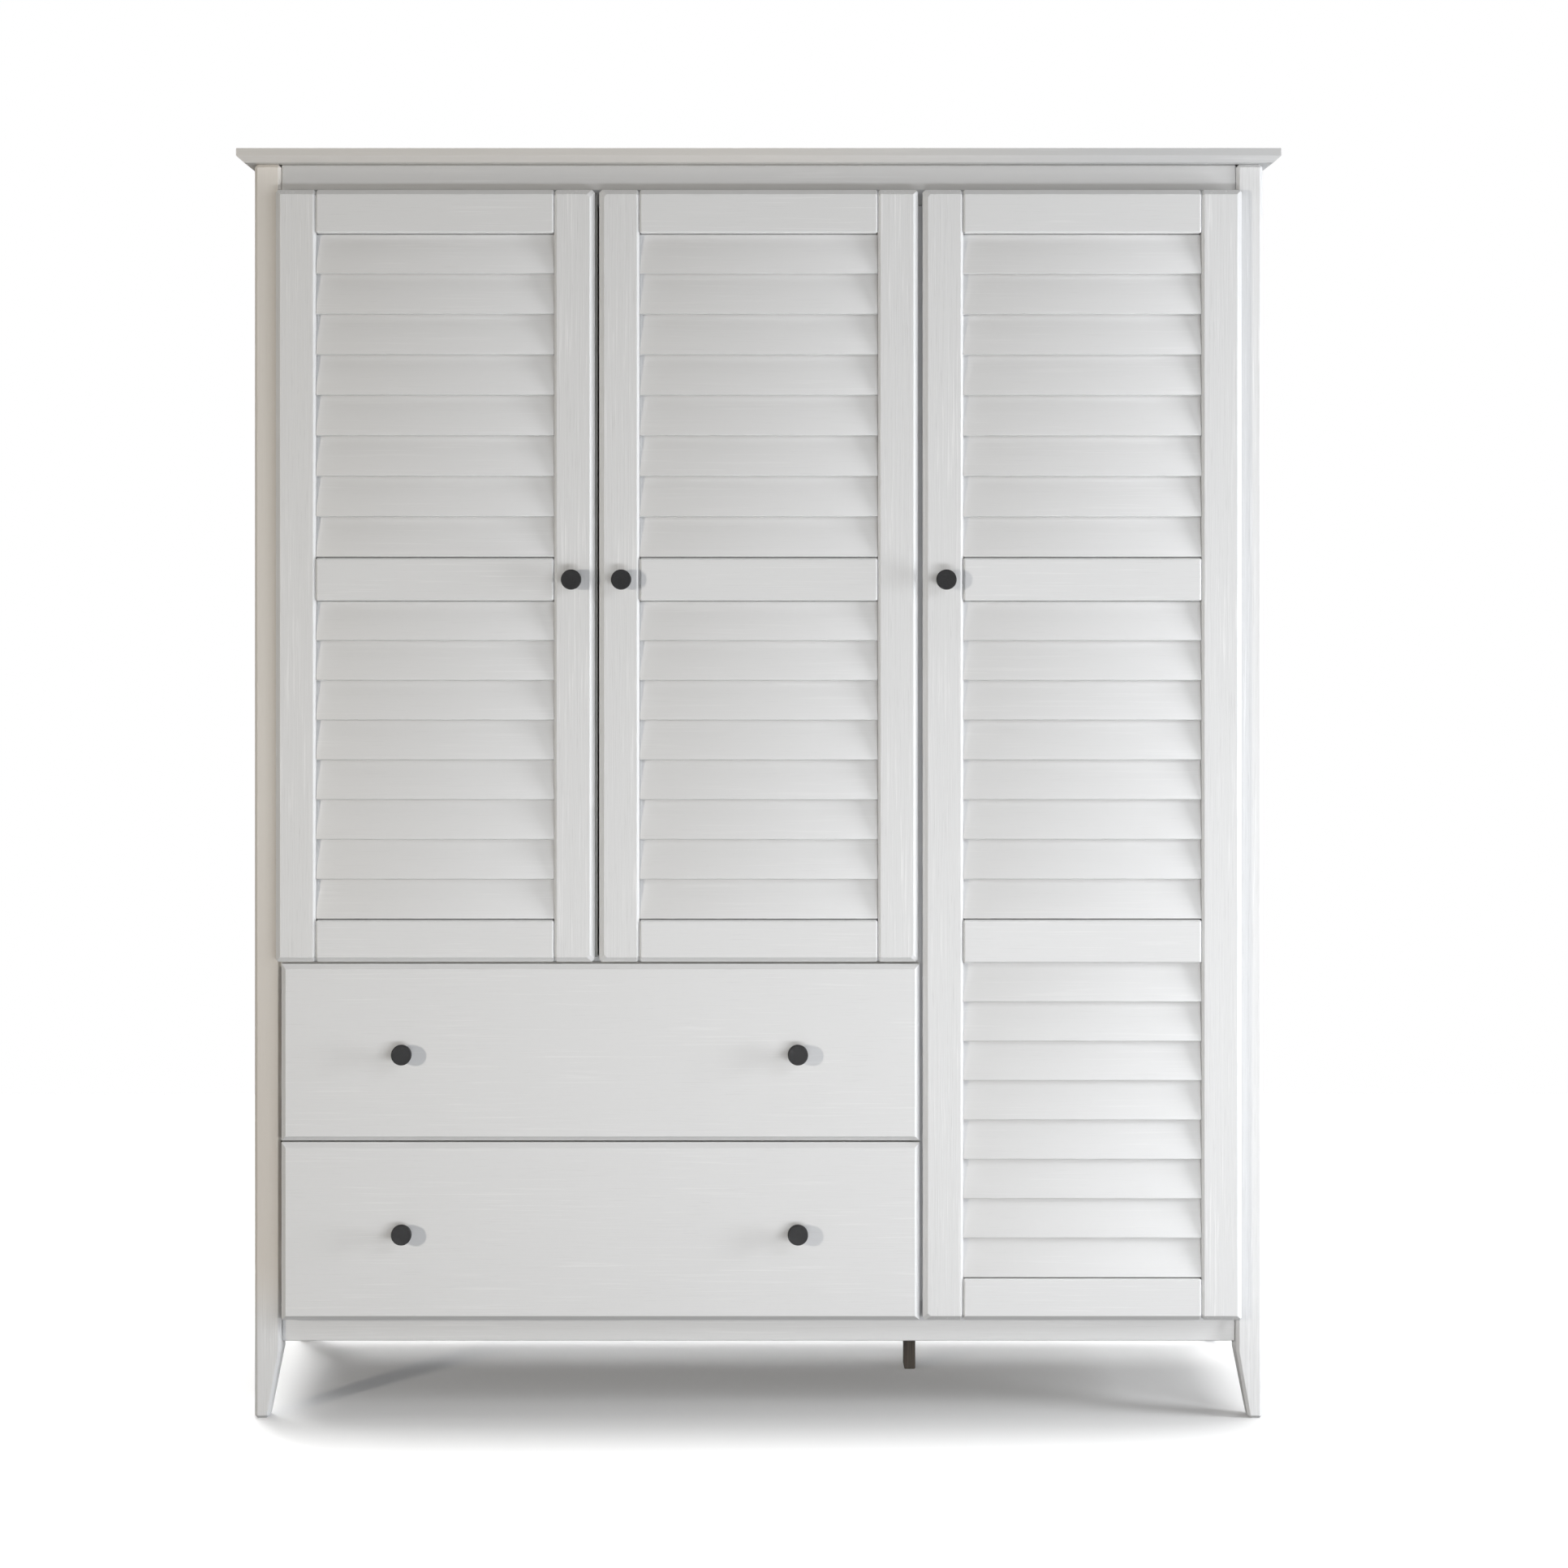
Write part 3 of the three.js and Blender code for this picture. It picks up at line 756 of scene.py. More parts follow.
    def piece(self, name: str, body: str, replaces: Iterable[str] = ()) -> bpy.types.Object:
        """Ends the shape as one piece of the armoire.

        Args:
            name: The piece's name.
            body: The body that it moves with.
            replaces: The frame's nodes that it stands for.

        Returns:
            The piece's object, at the origin.
        """
        shown = self._object(name)
        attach(shown, body)
        if replaces:
            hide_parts(*replaces)
        log.info("%s rides on %s", name, body)
        return shown

    def bridge(self, name: str, fixed: str, moving: str) -> bpy.types.Object:
        """Ends the shape as a piece that spans two bodies; it is baked in place and follows neither.

        Args:
            name: The piece's name.
            fixed: The body at one end, named only in the log.
            moving: The body at the other end, named only in the log.

        Returns:
            The piece's object, at the origin.
        """
        shown = self._object(name)
        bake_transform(shown)
        log.info("%s bends between %s and %s", name, fixed, moving)
        return shown

    def _object(self, name: str) -> bpy.types.Object:
        """Makes the object of this mesh, with its materials.

        Args:
            name: The object's name.

        Returns:
            The object, at the origin.
        """
        data = bpy.data.meshes.new(name)
        self.mesh.to_mesh(data)
        self.mesh.free()
        for finish in self.finishes:
            data.materials.append(PALETTE.of(finish))
        data.set_sharp_from_angle(angle=SMOOTH_ANGLE)
        shown = bpy.data.objects.new(name, data)
        bpy.context.scene.collection.objects.link(shown)
        return shown


def dress(node: str, finish: Finish, arris: float, facets: int = 3) -> None:
    """Gives a frame node its finish and eases its sharp edges.

    Args:
        node: The node's name.
        finish: Its finish.
        arris: The width of its eased square edges.
        facets: How many facets each eased edge has. One facet makes a planed chamfer.
    """
    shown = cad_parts[node]
    for slot in shown.material_slots:
        slot.material = PALETTE.of(finish)
    weld = shown.modifiers.new("weld", "WELD")
    weld.merge_threshold = 0.01 * MM
    flats = shown.modifiers.new("flats", "DECIMATE")
    flats.decimate_type = "DISSOLVE"
    flats.angle_limit = math.radians(1.0)
    for name, width, limit, segments in (("ease", arris, 60.0, facets), ("soften", 0.5 * MM, 30.0, 2)):
        bevel = shown.modifiers.new(name, "BEVEL")
        bevel.width = width
        bevel.segments = segments
        bevel.limit_method = "ANGLE"
        bevel.angle_limit = math.radians(limit)
    log.info("%s has its finish", node)


# ---------------------------------------------------------------------------------------------
# Carcass
# ---------------------------------------------------------------------------------------------


@dataclass
class Carcass:
    """The fixed frame, its panels and shelves, and what is fastened inside it."""

    post_arris: float = 4.2 * MM
    rail_arris: float = 1.8 * MM
    board_arris: float = 0.9 * MM
    nail_spacing: float = 0.15
    nail_radius: float = 2.2 * MM
    nail_inset: float = 9.0 * MM
    pin_radius: float = 2.5 * MM
    pin_reach: float = 9.0 * MM
    pin_collar: float = 1.4 * MM
    pin_inset: float = 0.05

    def build(self) -> None:
        """Dresses the frame's nodes and builds the fittings."""
        # Posts, side panels and top board get paint with painted warm light and painted shade; the top board
        # and frieze also get the darker crown paint as painted shade.
        for node in ("post_front_left", "post_front_right", "post_back_left", "post_back_right"):
            dress(node, Finish.PAINT_WARM_LIT_UPRIGHT, self.post_arris, 1)
        for node in ("side_panel_left", "side_panel_right"):
            dress(node, Finish.PAINT_WARM_LIT_UPRIGHT, self.board_arris)
        dress("partition", Finish.PAINT_UPRIGHT, self.board_arris)
        dress("top_board", Finish.PAINT_WARM_LIT_ACROSS, self.board_arris)
        dress("frieze_rail", Finish.PAINT_SHADED_CROWN, self.rail_arris, 1)
        dress("apron_rail", Finish.PAINT_ACROSS, self.rail_arris)
        for node in ("bottom_panel", "fixed_shelf", "shelf_upper", "shelf_lower"):
            dress(node, Finish.PAINT_ACROSS, self.board_arris)
        dress("back_panel", Finish.PLY_UPRIGHT, 0.4 * MM)
        dress("support_leg", Finish.STAIN, self.rail_arris)
        self._back_nails()
        for node in ("shelf_upper", "shelf_lower"):
            self._shelf_pins(node)

    def _back_nails(self) -> None:
        """Nail heads round the back panel and along the boards behind it."""
        low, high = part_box("back_panel")
        inset = self.nail_inset
        left = low.x + inset
        middle = sum(corner.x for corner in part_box("partition")) / 2.0
        right = high.x - inset
        bottom = sum(corner.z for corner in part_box("bottom_panel")) / 2.0
        shelf = sum(corner.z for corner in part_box("fixed_shelf")) / 2.0
        top = high.z - inset
        nails = Shape()
        places: set[Pair] = set()
        for column in (left, middle, right):
            places.update((column, z) for z in self._spaced(bottom, top))
        for row in (bottom, top):
            places.update((x, row) for x in self._spaced(left, right)[1:-1])
        places.update((x, shelf) for x in self._spaced(left, middle)[1:-1])
        radius = self.nail_radius
        sunk = -0.2 * MM
        rise = 0.7 * MM
        profile = [(0.0, sunk), (radius, sunk), (radius * 0.8, rise * 0.7), (0.0, rise)]
        for x, z in sorted(places):
            nails.turned(profile, Finish.NICKEL_ACROSS, (x, high.y, z), (0.0, 1.0, 0.0), 10)
        nails.piece("back_panel_nails", CARCASS)

    def _spaced(self, start: float, end: float) -> list[float]:
        """Places for nails along a line.

        Args:
            start: The first nail's place.
            end: The last nail's place.

        Returns:
            Evenly spaced places, both ends included.
        """
        count = round((end - start) / self.nail_spacing)
        return [start + (end - start) * n / count for n in range(count + 1)]

    def _shelf_pins(self, node: str) -> None:
        """Builds four pins with collars under a loose shelf.

        Args:
            node: The shelf's node.
        """
        wall_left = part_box("partition")[1].x
        wall_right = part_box("side_panel_right")[0].x
        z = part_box(node)[0].z - self.pin_radius
        post_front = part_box("post_front_right")[1].y
        post_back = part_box("post_back_right")[0].y
        collar = self.pin_collar
        radius = self.pin_radius
        edge = 0.6 * MM
        profile = [
            (0.0, 0.0),
            (radius * 1.7, 0.0),
            (radius * 1.7, collar * 0.7),
            (radius * 1.5, collar),
            (radius, collar),
            (radius, self.pin_reach - edge),
            (radius - edge, self.pin_reach),
            (0.0, self.pin_reach),
        ]
        for side, x, direction in (("left", wall_left, 1.0), ("right", wall_right, -1.0)):
            for depth, y in (("front", post_front + self.pin_inset), ("back", post_back - self.pin_inset)):
                pin = Shape().turned(profile, Finish.NICKEL_DEEP, (x, y, z), (direction, 0.0, 0.0), 24)
                pin.piece(f"{node}_pin_{side}_{depth}", CARCASS)


@dataclass
class HangingRail:
    """The smooth rod and its two flanged sockets."""

    flange_radius: float = 26.0 * MM
    flange_thickness: float = 3.0 * MM
    hub_radius: float = 18.0 * MM
    hub_reach: float = 13.0 * MM
    screw_ring: float = 22.0 * MM
    rod_play: float = 0.4 * MM
    wall_play: float = 0.3 * MM
    edge: float = 1.0 * MM

    def build(self) -> None:
        """Builds the rod and the sockets."""
        low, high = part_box("hanging_rod")
        centre = (low + high) / 2.0
        radius = (high.z - low.z) / 2.0
        length = high.x - low.x
        edge = self.edge
        profile = [
            (0.0, 0.0),
            (radius - edge, 0.0),
            (radius, edge),
            (radius, length - edge),
            (radius - edge, length),
            (0.0, length),
        ]
        rod = Shape().turned(profile, Finish.NICKEL_ACROSS, (low.x, centre.y, centre.z), (1.0, 0.0, 0.0), 64)
        rod.piece("hanging_rod_tube", CARCASS, ["hanging_rod"])
        bore = radius + self.rod_play
        fillet = 1.5 * MM
        draft = 0.5 * MM
        socket_profile = [
            (bore, 0.0),
            (self.flange_radius, 0.0),
            (self.flange_radius, self.flange_thickness - edge),
            (self.flange_radius - edge, self.flange_thickness),
            (self.hub_radius + fillet, self.flange_thickness),
            (self.hub_radius, self.flange_thickness + fillet),
            (self.hub_radius - draft, self.hub_reach - edge),
            (self.hub_radius - draft - edge, self.hub_reach),
            (bore, self.hub_reach),
        ]
        walls = (("left", low.x - self.wall_play, 1.0), ("right", high.x + self.wall_play, -1.0))
        for side, x, direction in walls:
            socket = Shape()
            seat = (x, centre.y, centre.z)
            socket.turned(socket_profile, Finish.NICKEL_ACROSS, seat, (direction, 0.0, 0.0), 64, ring=True)
            for turn in (90.0, 210.0, 330.0):
                y = centre.y + self.screw_ring * math.cos(math.radians(turn))
                z = centre.z + self.screw_ring * math.sin(math.radians(turn))
                face = x + direction * self.flange_thickness
                socket.screw((face, y, z), (direction, 0.0, 0.0), 2.6 * MM, 1.2 * MM)
            socket.piece(f"rod_socket_{side}", CARCASS)


# ---------------------------------------------------------------------------------------------
# Doors
# ---------------------------------------------------------------------------------------------


@dataclass
class TurnedKnob:
    """A round flat-faced knob with a waisted neck, and the screw that holds it."""

    name: str
    node: str
    body: str
    screw_face: float
    base_radius: float = 8.6 * MM
    base_height: float = 1.0 * MM
    neck_radius: float = 6.2 * MM
    head_back: float = 15.5 * MM
    rim: float = 1.3 * MM
    dish: float = 0.25 * MM

    def build(self) -> None:
        """Builds the knob and its screw."""
        low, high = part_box(self.node)
        centre = (low + high) / 2.0
        radius = (high.x - low.x) / 2.0
        reach = high.y - low.y
        base = self.base_height
        neck = self.neck_radius
        waist = base + (self.head_back - 1.5 * MM) / 2.0
        taper = self.base_radius - neck
        flare = radius - neck - self.rim
        profile = [(0.0, 0.0), (self.base_radius, 0.0), (self.base_radius, base)]
        for t in (0.25, 0.5, 0.75, 1.0):
            profile.append((neck + taper * (1.0 - t) ** 2, base + (waist - base) * t))
        for t in (0.2, 0.4, 0.6, 0.8, 0.92, 1.0):
            profile.append((neck + flare * t ** 3, waist + (self.head_back - waist) * t))
        profile += arc((radius - self.rim, self.head_back + self.rim), self.rim, -90.0, 0.0, 4)[1:]
        profile += arc((radius - self.rim, reach - self.rim), self.rim, 0.0, 90.0, 5)
        profile += [(radius - self.rim - 0.8 * MM, reach - self.dish / 5.0), (0.0, reach - self.dish)]
        seat = (centre.x, high.y, centre.z)
        knob = Shape().turned(profile, Finish.CHARCOAL, seat, (0.0, -1.0, 0.0), 64)
        knob.piece(self.name, self.body, [self.node])
        screw = Shape().screw((centre.x, self.screw_face, centre.z), (0.0, 1.0, 0.0), 4.2 * MM, 1.5 * MM)
        screw.piece(f"{self.name}_screw", self.body)


@dataclass
class ConcealedHinge:
    """A cup hinge: the cup on the door, the link across the joint, and the screws of its arm."""

    door: str
    place: str
    free_side: float
    cup_distance: float = 22.0 * MM
    cup_radius: float = 17.5 * MM
    flange_thickness: float = 1.1 * MM
    flange_reach: float = 31.0 * MM
    flange_width: float = 13.0 * MM
    flange_offset: float = 9.0 * MM
    link_width: float = 11.0 * MM
    link_thickness: float = 2.2 * MM
    link_tail: float = 5.0 * MM
    link_nose: float = 3.0 * MM
    plate_thickness: float = 3.0 * MM
    plate_screw_depth: float = 39.0 * MM
    plate_screw_rise: float = 16.0 * MM
    arm_screw_depths: Pair = (14.0 * MM, 46.0 * MM)

    def build(self) -> None:
        """Dresses the arm, then builds the cup, the link and the screws."""
        arm = f"{self.door}_hinge_arm_{self.place}"
        dress(arm, Finish.NICKEL_DEEP, 0.8 * MM)
        low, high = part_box(arm)
        stile_low, stile_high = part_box(f"{self.door}_hinge_stile")
        z = (low.z + high.z) / 2.0
        door_edge = stile_low.x if self.free_side > 0.0 else stile_high.x
        cup_x = door_edge + self.free_side * self.cup_distance
        back = stile_high.y
        self._cup(cup_x, back, z)
        arm_end = Vector(((low.x + high.x) / 2.0, low.y, z))
        self._link(arm_end, Vector((cup_x, back + self.flange_thickness, z)))
        self._arm_screws(arm, low, high, z)

    def _cup(self, x: float, back: float, z: float) -> None:
        """Builds the cup's rim and its screwed flange.

        Args:
            x: The cup's centre across the door.
            back: The door's back face.
            z: The cup's centre height.
        """
        cup = Shape()
        thickness = self.flange_thickness
        rim = [
            (0.0, 0.05 * MM),
            (self.cup_radius - 2.2 * MM, 0.05 * MM),
            (self.cup_radius - 1.8 * MM, thickness + 0.2 * MM),
            (self.cup_radius - 0.4 * MM, thickness + 0.3 * MM),
            (self.cup_radius, thickness),
            (self.cup_radius, 0.0),
            (0.0, 0.0),
        ]
        cup.turned(rim, Finish.NICKEL_DEEP, (x, back, z), (0.0, 1.0, 0.0), 48)
        flange_x = x + self.free_side * self.flange_offset
        low = (flange_x - self.flange_width / 2.0, back, z - self.flange_reach)
        high = (flange_x + self.flange_width / 2.0, back + thickness * 0.8, z + self.flange_reach)
        cup.block(low, high, Finish.NICKEL_DEEP, 0.35 * MM)
        for side in (-1.0, 1.0):
            seat = (flange_x, back + thickness * 0.8, z + side * (self.flange_reach - 6.5 * MM))
            cup.screw(seat, (0.0, 1.0, 0.0), 3.2 * MM, 0.6 * MM)
        cup.piece(f"{self.door}_hinge_cup_{self.place}", self.door)

    def _link(self, start: Vector, end: Vector) -> None:
        """Builds the pressed link from the arm to the cup, a straight strip across the joint.

        Args:
            start: The arm's end.
            end: The cup's middle.
        """
        along = end - start
        half = (self.link_thickness / 2.0, self.link_width / 2.0)
        place = Matrix.Translation(start) @ along.to_track_quat("X", "Z").to_matrix().to_4x4()
        link = Shape()
        low = (-self.link_tail, -half[0], -half[1])
        high = (along.length + self.link_nose, half[0], half[1])
        link.block(low, high, Finish.NICKEL_DEEP, 0.4 * MM, place, cuts=14)
        link.bridge(f"{self.door}_hinge_link_{self.place}", CARCASS, self.door)

    def _arm_screws(self, arm: str, low: Vector, high: Vector, z: float) -> None:
        """Builds the screws of the mounting plate and of the arm.

        Args:
            arm: The arm's node.
            low: The arm's lowest corner.
            high: The arm's highest corner.
            z: The arm's centre height.
        """
        screws = Shape()
        inward = (self.free_side, 0.0, 0.0)
        wall = low.x if self.free_side > 0.0 else high.x
        plate_face = wall + self.free_side * self.plate_thickness
        arm_face = high.x if self.free_side > 0.0 else low.x
        for rise in (-self.plate_screw_rise, self.plate_screw_rise):
            screws.screw((plate_face, low.y + self.plate_screw_depth, z + rise), inward, 3.6 * MM)
        for depth in self.arm_screw_depths:
            screws.screw((arm_face, low.y + depth, z), inward, 3.0 * MM, 1.2 * MM)
        screws.piece(f"{arm}_screws", CARCASS)


@dataclass
class LouvredDoor:
    """A framed door: stiles and rails of the frame, separate louvres, knob, hinges and stops."""

    name: str
    free_side: float
    rails: list[str]
    fields: list[str]
    hinges: list[str]
    slats_per_field: int = 8
    slat_thickness: float = 7.0 * MM
    slat_bottom_recess: float = 2.6 * MM
    slat_top_recess: float = 12.5 * MM
    slat_overlap: float = 8.0 * MM
    slat_top_play: float = 0.4 * MM
    slat_lift: float = 1.4 * MM
    slat_arris: float = 0.8 * MM
    stile_arris: float = 3.6 * MM
    rail_arris: float = 2.2 * MM
    bumper_radius: float = 2.6 * MM
    bumper_inset: float = 3.2 * MM
    bumper_drop: float = 0.12
    bumper_rise: float = 4.0 * MM
    lip_width: float = 0.0
    lip_depth: float = 3.0 * MM
    lip_recess: float = 3.0 * MM
    lip_root: float = 0.5 * MM
    lip_end: float = 6.0 * MM

    def build(self) -> None:
        """Dresses the frame and builds the door's own pieces."""
        for stile in ("hinge_stile", "lock_stile"):
            dress(f"{self.name}_{stile}", Finish.PAINT_UPRIGHT, self.stile_arris, 1)
        for rail in self.rails:
            dress(f"{self.name}_{rail}", Finish.PAINT_ACROSS, self.rail_arris, 1)
        for label in self.fields:
            self._louvres(label)
        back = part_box(f"{self.name}_lock_stile")[1].y
        TurnedKnob(f"{self.name}_knob_turned", f"{self.name}_knob", self.name, back).build()
        for place in self.hinges:
            ConcealedHinge(self.name, place, self.free_side).build()
        self._bumpers()
        if self.lip_width > 0.0:
            self._dust_lip()

    def _louvres(self, label: str) -> None:
        """Builds the separate sloping slats of one field.

        Args:
            label: The field's name within the door.
        """
        node = f"{self.name}_{label}"
        low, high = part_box(node)
        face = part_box(f"{self.name}_hinge_stile")[0].y
        pitch = (high.z - low.z) / self.slats_per_field
        slope = math.atan2(self.slat_top_recess - self.slat_bottom_recess, pitch)
        lean = Matrix.Rotation(-slope, 4, "X")
        for index in range(self.slats_per_field):
            bottom = low.z + index * pitch + self.slat_lift
            is_top = index == self.slats_per_field - 1
            beyond = -self.slat_top_play if is_top else self.slat_overlap
            height = (pitch - self.slat_lift) / math.cos(slope) + beyond
            place = Matrix.Translation((0.0, face + self.slat_bottom_recess, bottom)) @ lean
            corner = (low.x, 0.0, 0.0)
            opposite = (high.x, self.slat_thickness, height)
            slat = Shape().block(corner, opposite, Finish.PAINT_SLAT, self.slat_arris, place)
            slat.piece(f"{node}_slat_{index + 1}", self.name, [node])

    def _bumpers(self) -> None:
        """Soft dots on the back of the lock stile, where it meets the carcass."""
        low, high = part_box(f"{self.name}_lock_stile")
        edge = high.x if self.free_side > 0.0 else low.x
        radius = self.bumper_radius
        profile = [(0.0, 0.0), (radius, 0.0), (radius, 0.5 * MM), (radius * 0.7, 1.2 * MM), (0.0, 1.4 * MM)]
        x = edge - self.free_side * self.bumper_inset
        for place, z in (("upper", high.z - self.bumper_drop), ("lower", low.z + self.bumper_rise)):
            bumper = Shape().turned(profile, Finish.RUBBER_GREY, (x, high.y, z), (0.0, 1.0, 0.0), 20)
            bumper.piece(f"{self.name}_bumper_{place}", self.name)

    def _dust_lip(self) -> None:
        """A soft lip along the back of the free edge, which closes most of the gap to the next door."""
        low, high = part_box(f"{self.name}_lock_stile")
        edge = high.x if self.free_side > 0.0 else low.x
        near = edge - self.free_side * self.lip_root
        far = edge + self.free_side * self.lip_width
        back = high.y - self.lip_recess
        corner = (min(near, far), back - self.lip_depth, low.z + self.lip_end)
        opposite = (max(near, far), back, high.z - self.lip_end)
        lip = Shape().block(corner, opposite, Finish.RUBBER_GREY, 0.6 * MM)
        lip.piece(f"{self.name}_dust_lip", self.name)


@dataclass
class MagnetCatch:
    """A magnetic catch under the frieze rail and its strike plate on a door."""

    door: str
    free_side: float
    width: float = 40.0 * MM
    depth: float = 16.0 * MM
    height: float = 12.5 * MM
    edge_distance: float = 0.07
    pole_half_gap: float = 3.0 * MM
    pole_thickness: float = 1.4 * MM
    plate_width: float = 30.0 * MM
    plate_height: float = 12.0 * MM
    plate_thickness: float = 1.0 * MM

    def build(self) -> None:
        """Builds the catch and its plate."""
        frieze_low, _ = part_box("frieze_rail")
        post_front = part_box("post_front_left")[0].y
        stile_low, stile_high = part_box(f"{self.door}_lock_stile")
        edge = stile_high.x if self.free_side > 0.0 else stile_low.x
        x = edge - self.free_side * self.edge_distance
        top = frieze_low.z - 0.3 * MM
        front = post_front + 1.2 * MM
        middle = top - self.height / 2.0
        low = (x - self.width / 2.0, front, top - self.height)
        high = (x + self.width / 2.0, front + self.depth, top)
        catch = Shape().block(low, high, Finish.NYLON_WHITE, 1.2 * MM)
        pole_reach = 0.36 * self.width
        pole_half = self.pole_thickness / 2.0
        for z in (middle - self.pole_half_gap, middle + self.pole_half_gap):
            pole_low = (x - pole_reach, front - pole_half, z - pole_half)
            pole_high = (x + pole_reach, front + 2.0 * MM, z + pole_half)
            catch.block(pole_low, pole_high, Finish.NICKEL_ACROSS, 0.2 * MM)
        catch.piece(f"{self.door}_catch", CARCASS)
        back = stile_high.y
        reach = self.plate_width / 2.0
        rise = self.plate_height / 2.0
        plate_low = (x - reach, back, middle - rise)
        plate_high = (x + reach, back + self.plate_thickness, middle + rise)
        plate = Shape().block(plate_low, plate_high, Finish.NICKEL_ACROSS, 0.3 * MM)
        plate.piece(f"{self.door}_strike_plate", self.door)


# ---------------------------------------------------------------------------------------------
# Drawers
# ---------------------------------------------------------------------------------------------


@dataclass
class Drawer:
    """A drawer: its front, four box boards, bottom, knobs, screws and a pair of runners."""

    name: str
    side_thickness: float = 15.0 * MM
    board_arris: float = 1.8 * MM
    runner_rise: float = 0.055
    runner_height: float = 45.0 * MM
    slider_height: float = 35.0 * MM
    runner_wall: float = 1.2 * MM
    runner_length: float = 0.42
    runner_lip: float = 9.0 * MM
    slider_lip: float = 7.5 * MM
    play: float = 0.2 * MM
    batten_height: float = 60.0 * MM
    front_screw_inset: float = 0.07
    front_screw_rise: float = 0.045
    front_screw_drop: float = 0.03

    def build(self) -> None:
        """Dresses the front and builds the rest."""
        dress(f"{self.name}_front", Finish.PAINT_ACROSS, 0.8 * MM)
        dress(f"{self.name}_bottom", Finish.PLY_ACROSS, 0.3 * MM)
        low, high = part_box(f"{self.name}_box")
        self._boards(low, high)
        screw_face = low.y + self.side_thickness
        for side in ("left", "right"):
            node = f"{self.name}_knob_{side}"
            TurnedKnob(f"{node}_turned", node, self.name, screw_face).build()
        self._front_screws(low, high, screw_face)
        self._runners(low, high)

    def _boards(self, low: Vector, high: Vector) -> None:
        """Builds the four boards of the box. The sides run past the front and the back.

        Args:
            low: The box's lowest corner.
            high: The box's highest corner.
        """
        node = f"{self.name}_box"
        thickness = self.side_thickness
        gap = 0.15 * MM
        inner_left = low.x + thickness + gap
        inner_right = high.x - thickness - gap
        inner_front = (inner_right, low.y + thickness, high.z)
        inner_back = (inner_left, high.y - thickness, low.z)
        boards = {
            "side_left": (low, (low.x + thickness, high.y, high.z), Finish.PINE_DEEP),
            "side_right": ((high.x - thickness, low.y, low.z), high, Finish.PINE_DEEP),
            "box_front": ((inner_left, low.y, low.z), inner_front, Finish.PINE_ACROSS),
            "box_back": (inner_back, (inner_right, high.y, high.z), Finish.PINE_ACROSS),
        }
        for label, (corner, opposite, finish) in boards.items():
            board = Shape().block(corner, opposite, finish, self.board_arris)
            board.piece(f"{self.name}_{label}", self.name, [node])

    def _front_screws(self, low: Vector, high: Vector, face: float) -> None:
        """Builds the screws that hold the front to the box, seen inside the box.

        Args:
            low: The box's lowest corner.
            high: The box's highest corner.
            face: The inner face of the box's front board.
        """
        screws = Shape()
        for x in (low.x + self.front_screw_inset, high.x - self.front_screw_inset):
            for z in (low.z + self.front_screw_rise, high.z - self.front_screw_drop):
                screws.screw((x, face, z), (0.0, 1.0, 0.0), 4.0 * MM)
        screws.piece(f"{self.name}_front_screws", self.name)

    def _runners(self, low: Vector, high: Vector) -> None:
        """Builds a rail on the carcass and a slider on the drawer at each side, and the left batten.

        Args:
            low: The box's lowest corner.
            high: The box's highest corner.
        """
        post_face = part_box("post_front_left")[1].x
        partition_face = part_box("partition")[0].x
        z = low.z + self.runner_rise
        start = low.y + 4.0 * MM
        for side, fixed_x, drawer_x, inward in (
            ("left", post_face, low.x, 1.0),
            ("right", partition_face, high.x, -1.0),
        ):
            rail = self._track(fixed_x, inward, self.runner_lip, self.runner_height, (start, z))
            rail.piece(f"{self.name}_runner_{side}", CARCASS)
            slider = self._track(drawer_x, -inward, self.slider_lip, self.slider_height, (start, z))
            slider.piece(f"{self.name}_slider_{side}", self.name)
        panel_low, panel_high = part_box("side_panel_left")
        play = self.play
        batten_low = (panel_high.x + play, panel_low.y + play, z - self.batten_height / 2.0)
        batten_high = (post_face, panel_high.y - play, z + self.batten_height / 2.0)
        batten = Shape().block(batten_low, batten_high, Finish.PINE_DEEP, 1.0 * MM)
        batten.piece(f"{self.name}_runner_batten", CARCASS)

    def _track(self, wall_x: float, away: float, lip: float, height: float, start: Pair) -> Shape:
        """Builds a folded steel track against a wall.

        Args:
            wall_x: The wall's face.
            away: Which way the track stands off the wall, 1 or -1 along X.
            lip: How far its lips reach.
            height: The track's height.
            start: The y where it starts and the z of its middle.

        Returns:
            The track, not yet a piece.
        """
        y, z = start
        web = wall_x + away * (self.runner_wall / 2.0 + self.play)
        tip = web + away * lip
        half = height / 2.0
        outline = [(tip, z + half), (web, z + half), (web, z - half), (tip, z - half)]
        return Shape().channel(outline, y, y + self.runner_length, self.runner_wall, Finish.NICKEL_DEEP)


# ---------------------------------------------------------------------------------------------
# Studio
# ---------------------------------------------------------------------------------------------


WHITE = (1.0, 1.0, 1.0)
WARM = (1.0, 0.94, 0.84)
COOL = (0.965, 0.98, 1.0)


@dataclass
class SoftLight:
    """An area light that faces a point. The spread is the full angle of its beam in degrees."""

    name: str
    place: Point
    target: Point
    size: tuple[float, float]
    power: float
    colour: tuple[float, float, float]
    spread: float = 180.0

    def build(self) -> None:
        """Adds the light."""
        data = bpy.data.lights.new(self.name, "AREA")
        data.shape = "RECTANGLE"
        data.size, data.size_y = self.size
        data.energy = self.power
        data.color = self.colour
        data.spread = math.radians(self.spread)
        lamp = bpy.data.objects.new(self.name, data)
        bpy.context.scene.collection.objects.link(lamp)
        lamp.location = self.place
        aim = Vector(self.target) - Vector(self.place)
        lamp.rotation_euler = aim.to_track_quat("-Z", "Y").to_euler()
        lamp.visible_camera = False


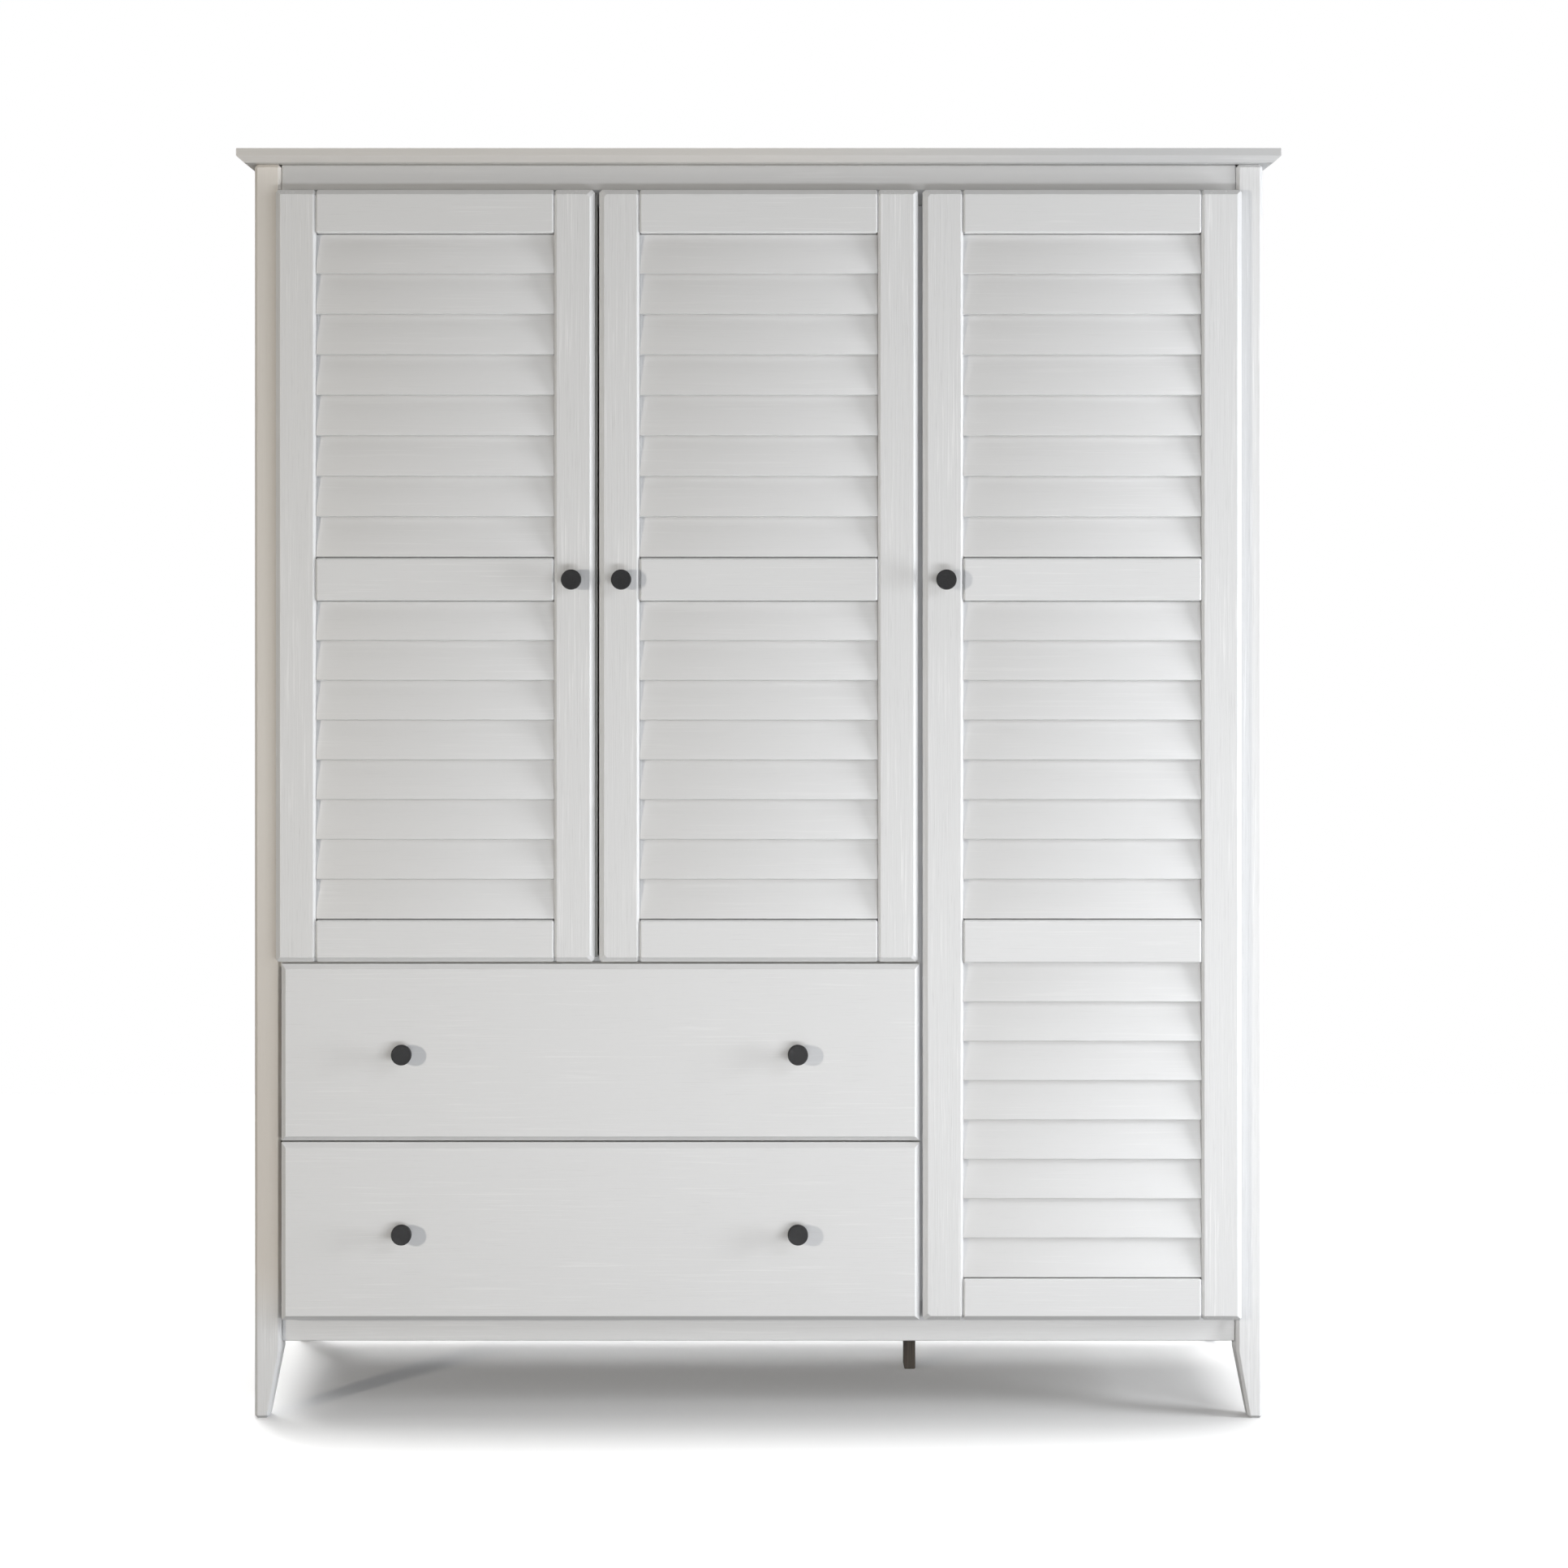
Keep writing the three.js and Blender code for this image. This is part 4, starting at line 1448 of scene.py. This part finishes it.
@dataclass
class Studio:
    """The pale floor, the soft lights, the plain surroundings and the camera."""

    eye: tuple[float, float, float] = (-0.02, -4.8215, 1.23)
    lens: float = 73.2
    shift: tuple[float, float] = (0.025, -0.139)
    ambient: float = 0.04
    floor_reach: float = 2.6
    floor_glow: float = 0.12
    floor_light: Colour = (0.93, 0.93, 0.93, 1.0)
    floor_dark: Colour = (0.90, 0.90, 0.91, 1.0)
    lights: list[SoftLight] = field(default_factory=lambda: [
        SoftLight("window_right", (2.6, -2.6, 2.35), (0.2, -0.25, 0.8), (1.7, 1.2), 29.0, COOL),
        SoftLight("window_side", (3.2, -0.95, 0.85), (0.0, -0.25, 0.75), (0.9, 1.6), 84.0, COOL),
        SoftLight("lamp_left", (-3.6, -4.15, 1.25), (0.0, -0.25, 1.0), (0.3, 0.3), 92.0, WARM),
        SoftLight("fill_low", (0.7, -2.7, 0.24), (0.4, -0.25, 0.6), (2.6, 0.4), 32.5, COOL),
        SoftLight("ceiling_front", (0.2, -1.1, 4.6), (0.2, -1.1, 0.0), (5.0, 1.0), 14.0, WHITE),
        SoftLight("floor_front", (0.0, -1.75, 2.3), (0.0, -1.75, 0.0), (5.6, 2.5), 60.0, WHITE, 16.0),
        SoftLight("ceiling_back", (0.0, 1.6, 4.6), (0.0, 1.6, 0.0), (7.0, 3.6), 345.0, WHITE),
        SoftLight("fill_back", (-1.6, 3.2, 2.6), (0.0, 0.25, 1.1), (2.4, 1.6), 20.0, WHITE, 60.0),
    ])

    def build(self) -> None:
        """Builds the whole studio."""
        self._floor()
        self._surroundings()
        for light in self.lights:
            light.build()
        self._camera()

    def _floor(self) -> None:
        """A wide pale floor that the feet stand on."""
        shader = Shader("studio_floor")
        cloud = shader.noise((0.8, 0.8, 0.8), 2.0)
        tone = shader.mix(cloud.between(0.3, 0.7) * 0.3, self.floor_light, self.floor_dark)
        material = shader.finish(
            Base_Color=tone,
            Roughness=0.9,
            Emission_Color=tone,
            Emission_Strength=self.floor_glow,
        )
        grid = bmesh.new()
        bmesh.ops.create_grid(grid, x_segments=1, y_segments=1, size=self.floor_reach)
        data = bpy.data.meshes.new("floor")
        grid.to_mesh(data)
        grid.free()
        data.materials.append(material)
        floor = bpy.data.objects.new("floor", data)
        floor.visible_diffuse = False
        bpy.context.scene.collection.objects.link(floor)

    def _surroundings(self) -> None:
        """Surroundings that are plain white to the camera and light the scene only faintly."""
        world = bpy.data.worlds.new("studio")
        world.use_nodes = True
        tree = world.node_tree
        tree.nodes.clear()
        path = tree.nodes.new("ShaderNodeLightPath")
        strength = tree.nodes.new("ShaderNodeMapRange")
        strength.inputs["To Min"].default_value = self.ambient
        strength.inputs["To Max"].default_value = 1.0
        background = tree.nodes.new("ShaderNodeBackground")
        output = tree.nodes.new("ShaderNodeOutputWorld")
        tree.links.new(path.outputs["Is Camera Ray"], strength.inputs["Value"])
        tree.links.new(strength.outputs[0], background.inputs["Strength"])
        tree.links.new(background.outputs[0], output.inputs["Surface"])
        background.inputs["Color"].default_value = (1.0, 1.0, 1.0, 1.0)
        bpy.context.scene.world = world

    def _camera(self) -> None:
        """The camera, level and square to the front."""
        data = bpy.data.cameras.new("camera")
        data.lens = self.lens
        data.sensor_width = 36.0
        data.shift_x, data.shift_y = self.shift
        camera = bpy.data.objects.new("camera", data)
        camera.location = self.eye
        camera.rotation_euler = (math.radians(90.0), 0.0, 0.0)
        bpy.context.scene.collection.objects.link(camera)
        bpy.context.scene.camera = camera
        bpy.context.scene.view_settings.view_transform = "Standard"


# ---------------------------------------------------------------------------------------------
# Assembly
# ---------------------------------------------------------------------------------------------

SHORT_RAILS = ["top_rail", "middle_rail", "bottom_rail"]
TALL_RAILS = ["top_rail", "upper_middle_rail", "lower_middle_rail", "bottom_rail"]
SHORT_FIELDS = ["upper_louvres", "lower_louvres"]
TALL_FIELDS = ["upper_louvres", "middle_louvres", "lower_louvres"]
SHORT_HINGES = ["upper", "lower"]
TALL_HINGES = ["upper", "middle", "lower"]


def main() -> None:
    """Builds the armoire's look and its studio."""
    logging.basicConfig(level=logging.INFO, format="%(name)s: %(message)s")
    Carcass().build()
    HangingRail().build()
    doors = [
        LouvredDoor("left_door", 1.0, SHORT_RAILS, SHORT_FIELDS, SHORT_HINGES, lip_width=4.0 * MM),
        LouvredDoor("middle_door", -1.0, SHORT_RAILS, SHORT_FIELDS, SHORT_HINGES),
        LouvredDoor("right_door", -1.0, TALL_RAILS, TALL_FIELDS, TALL_HINGES),
    ]
    for door in doors:
        door.build()
        MagnetCatch(door.name, door.free_side).build()
    for name in ("upper_drawer", "lower_drawer"):
        Drawer(name).build()
    Studio().build()


if __name__ == "__main__":
    main()
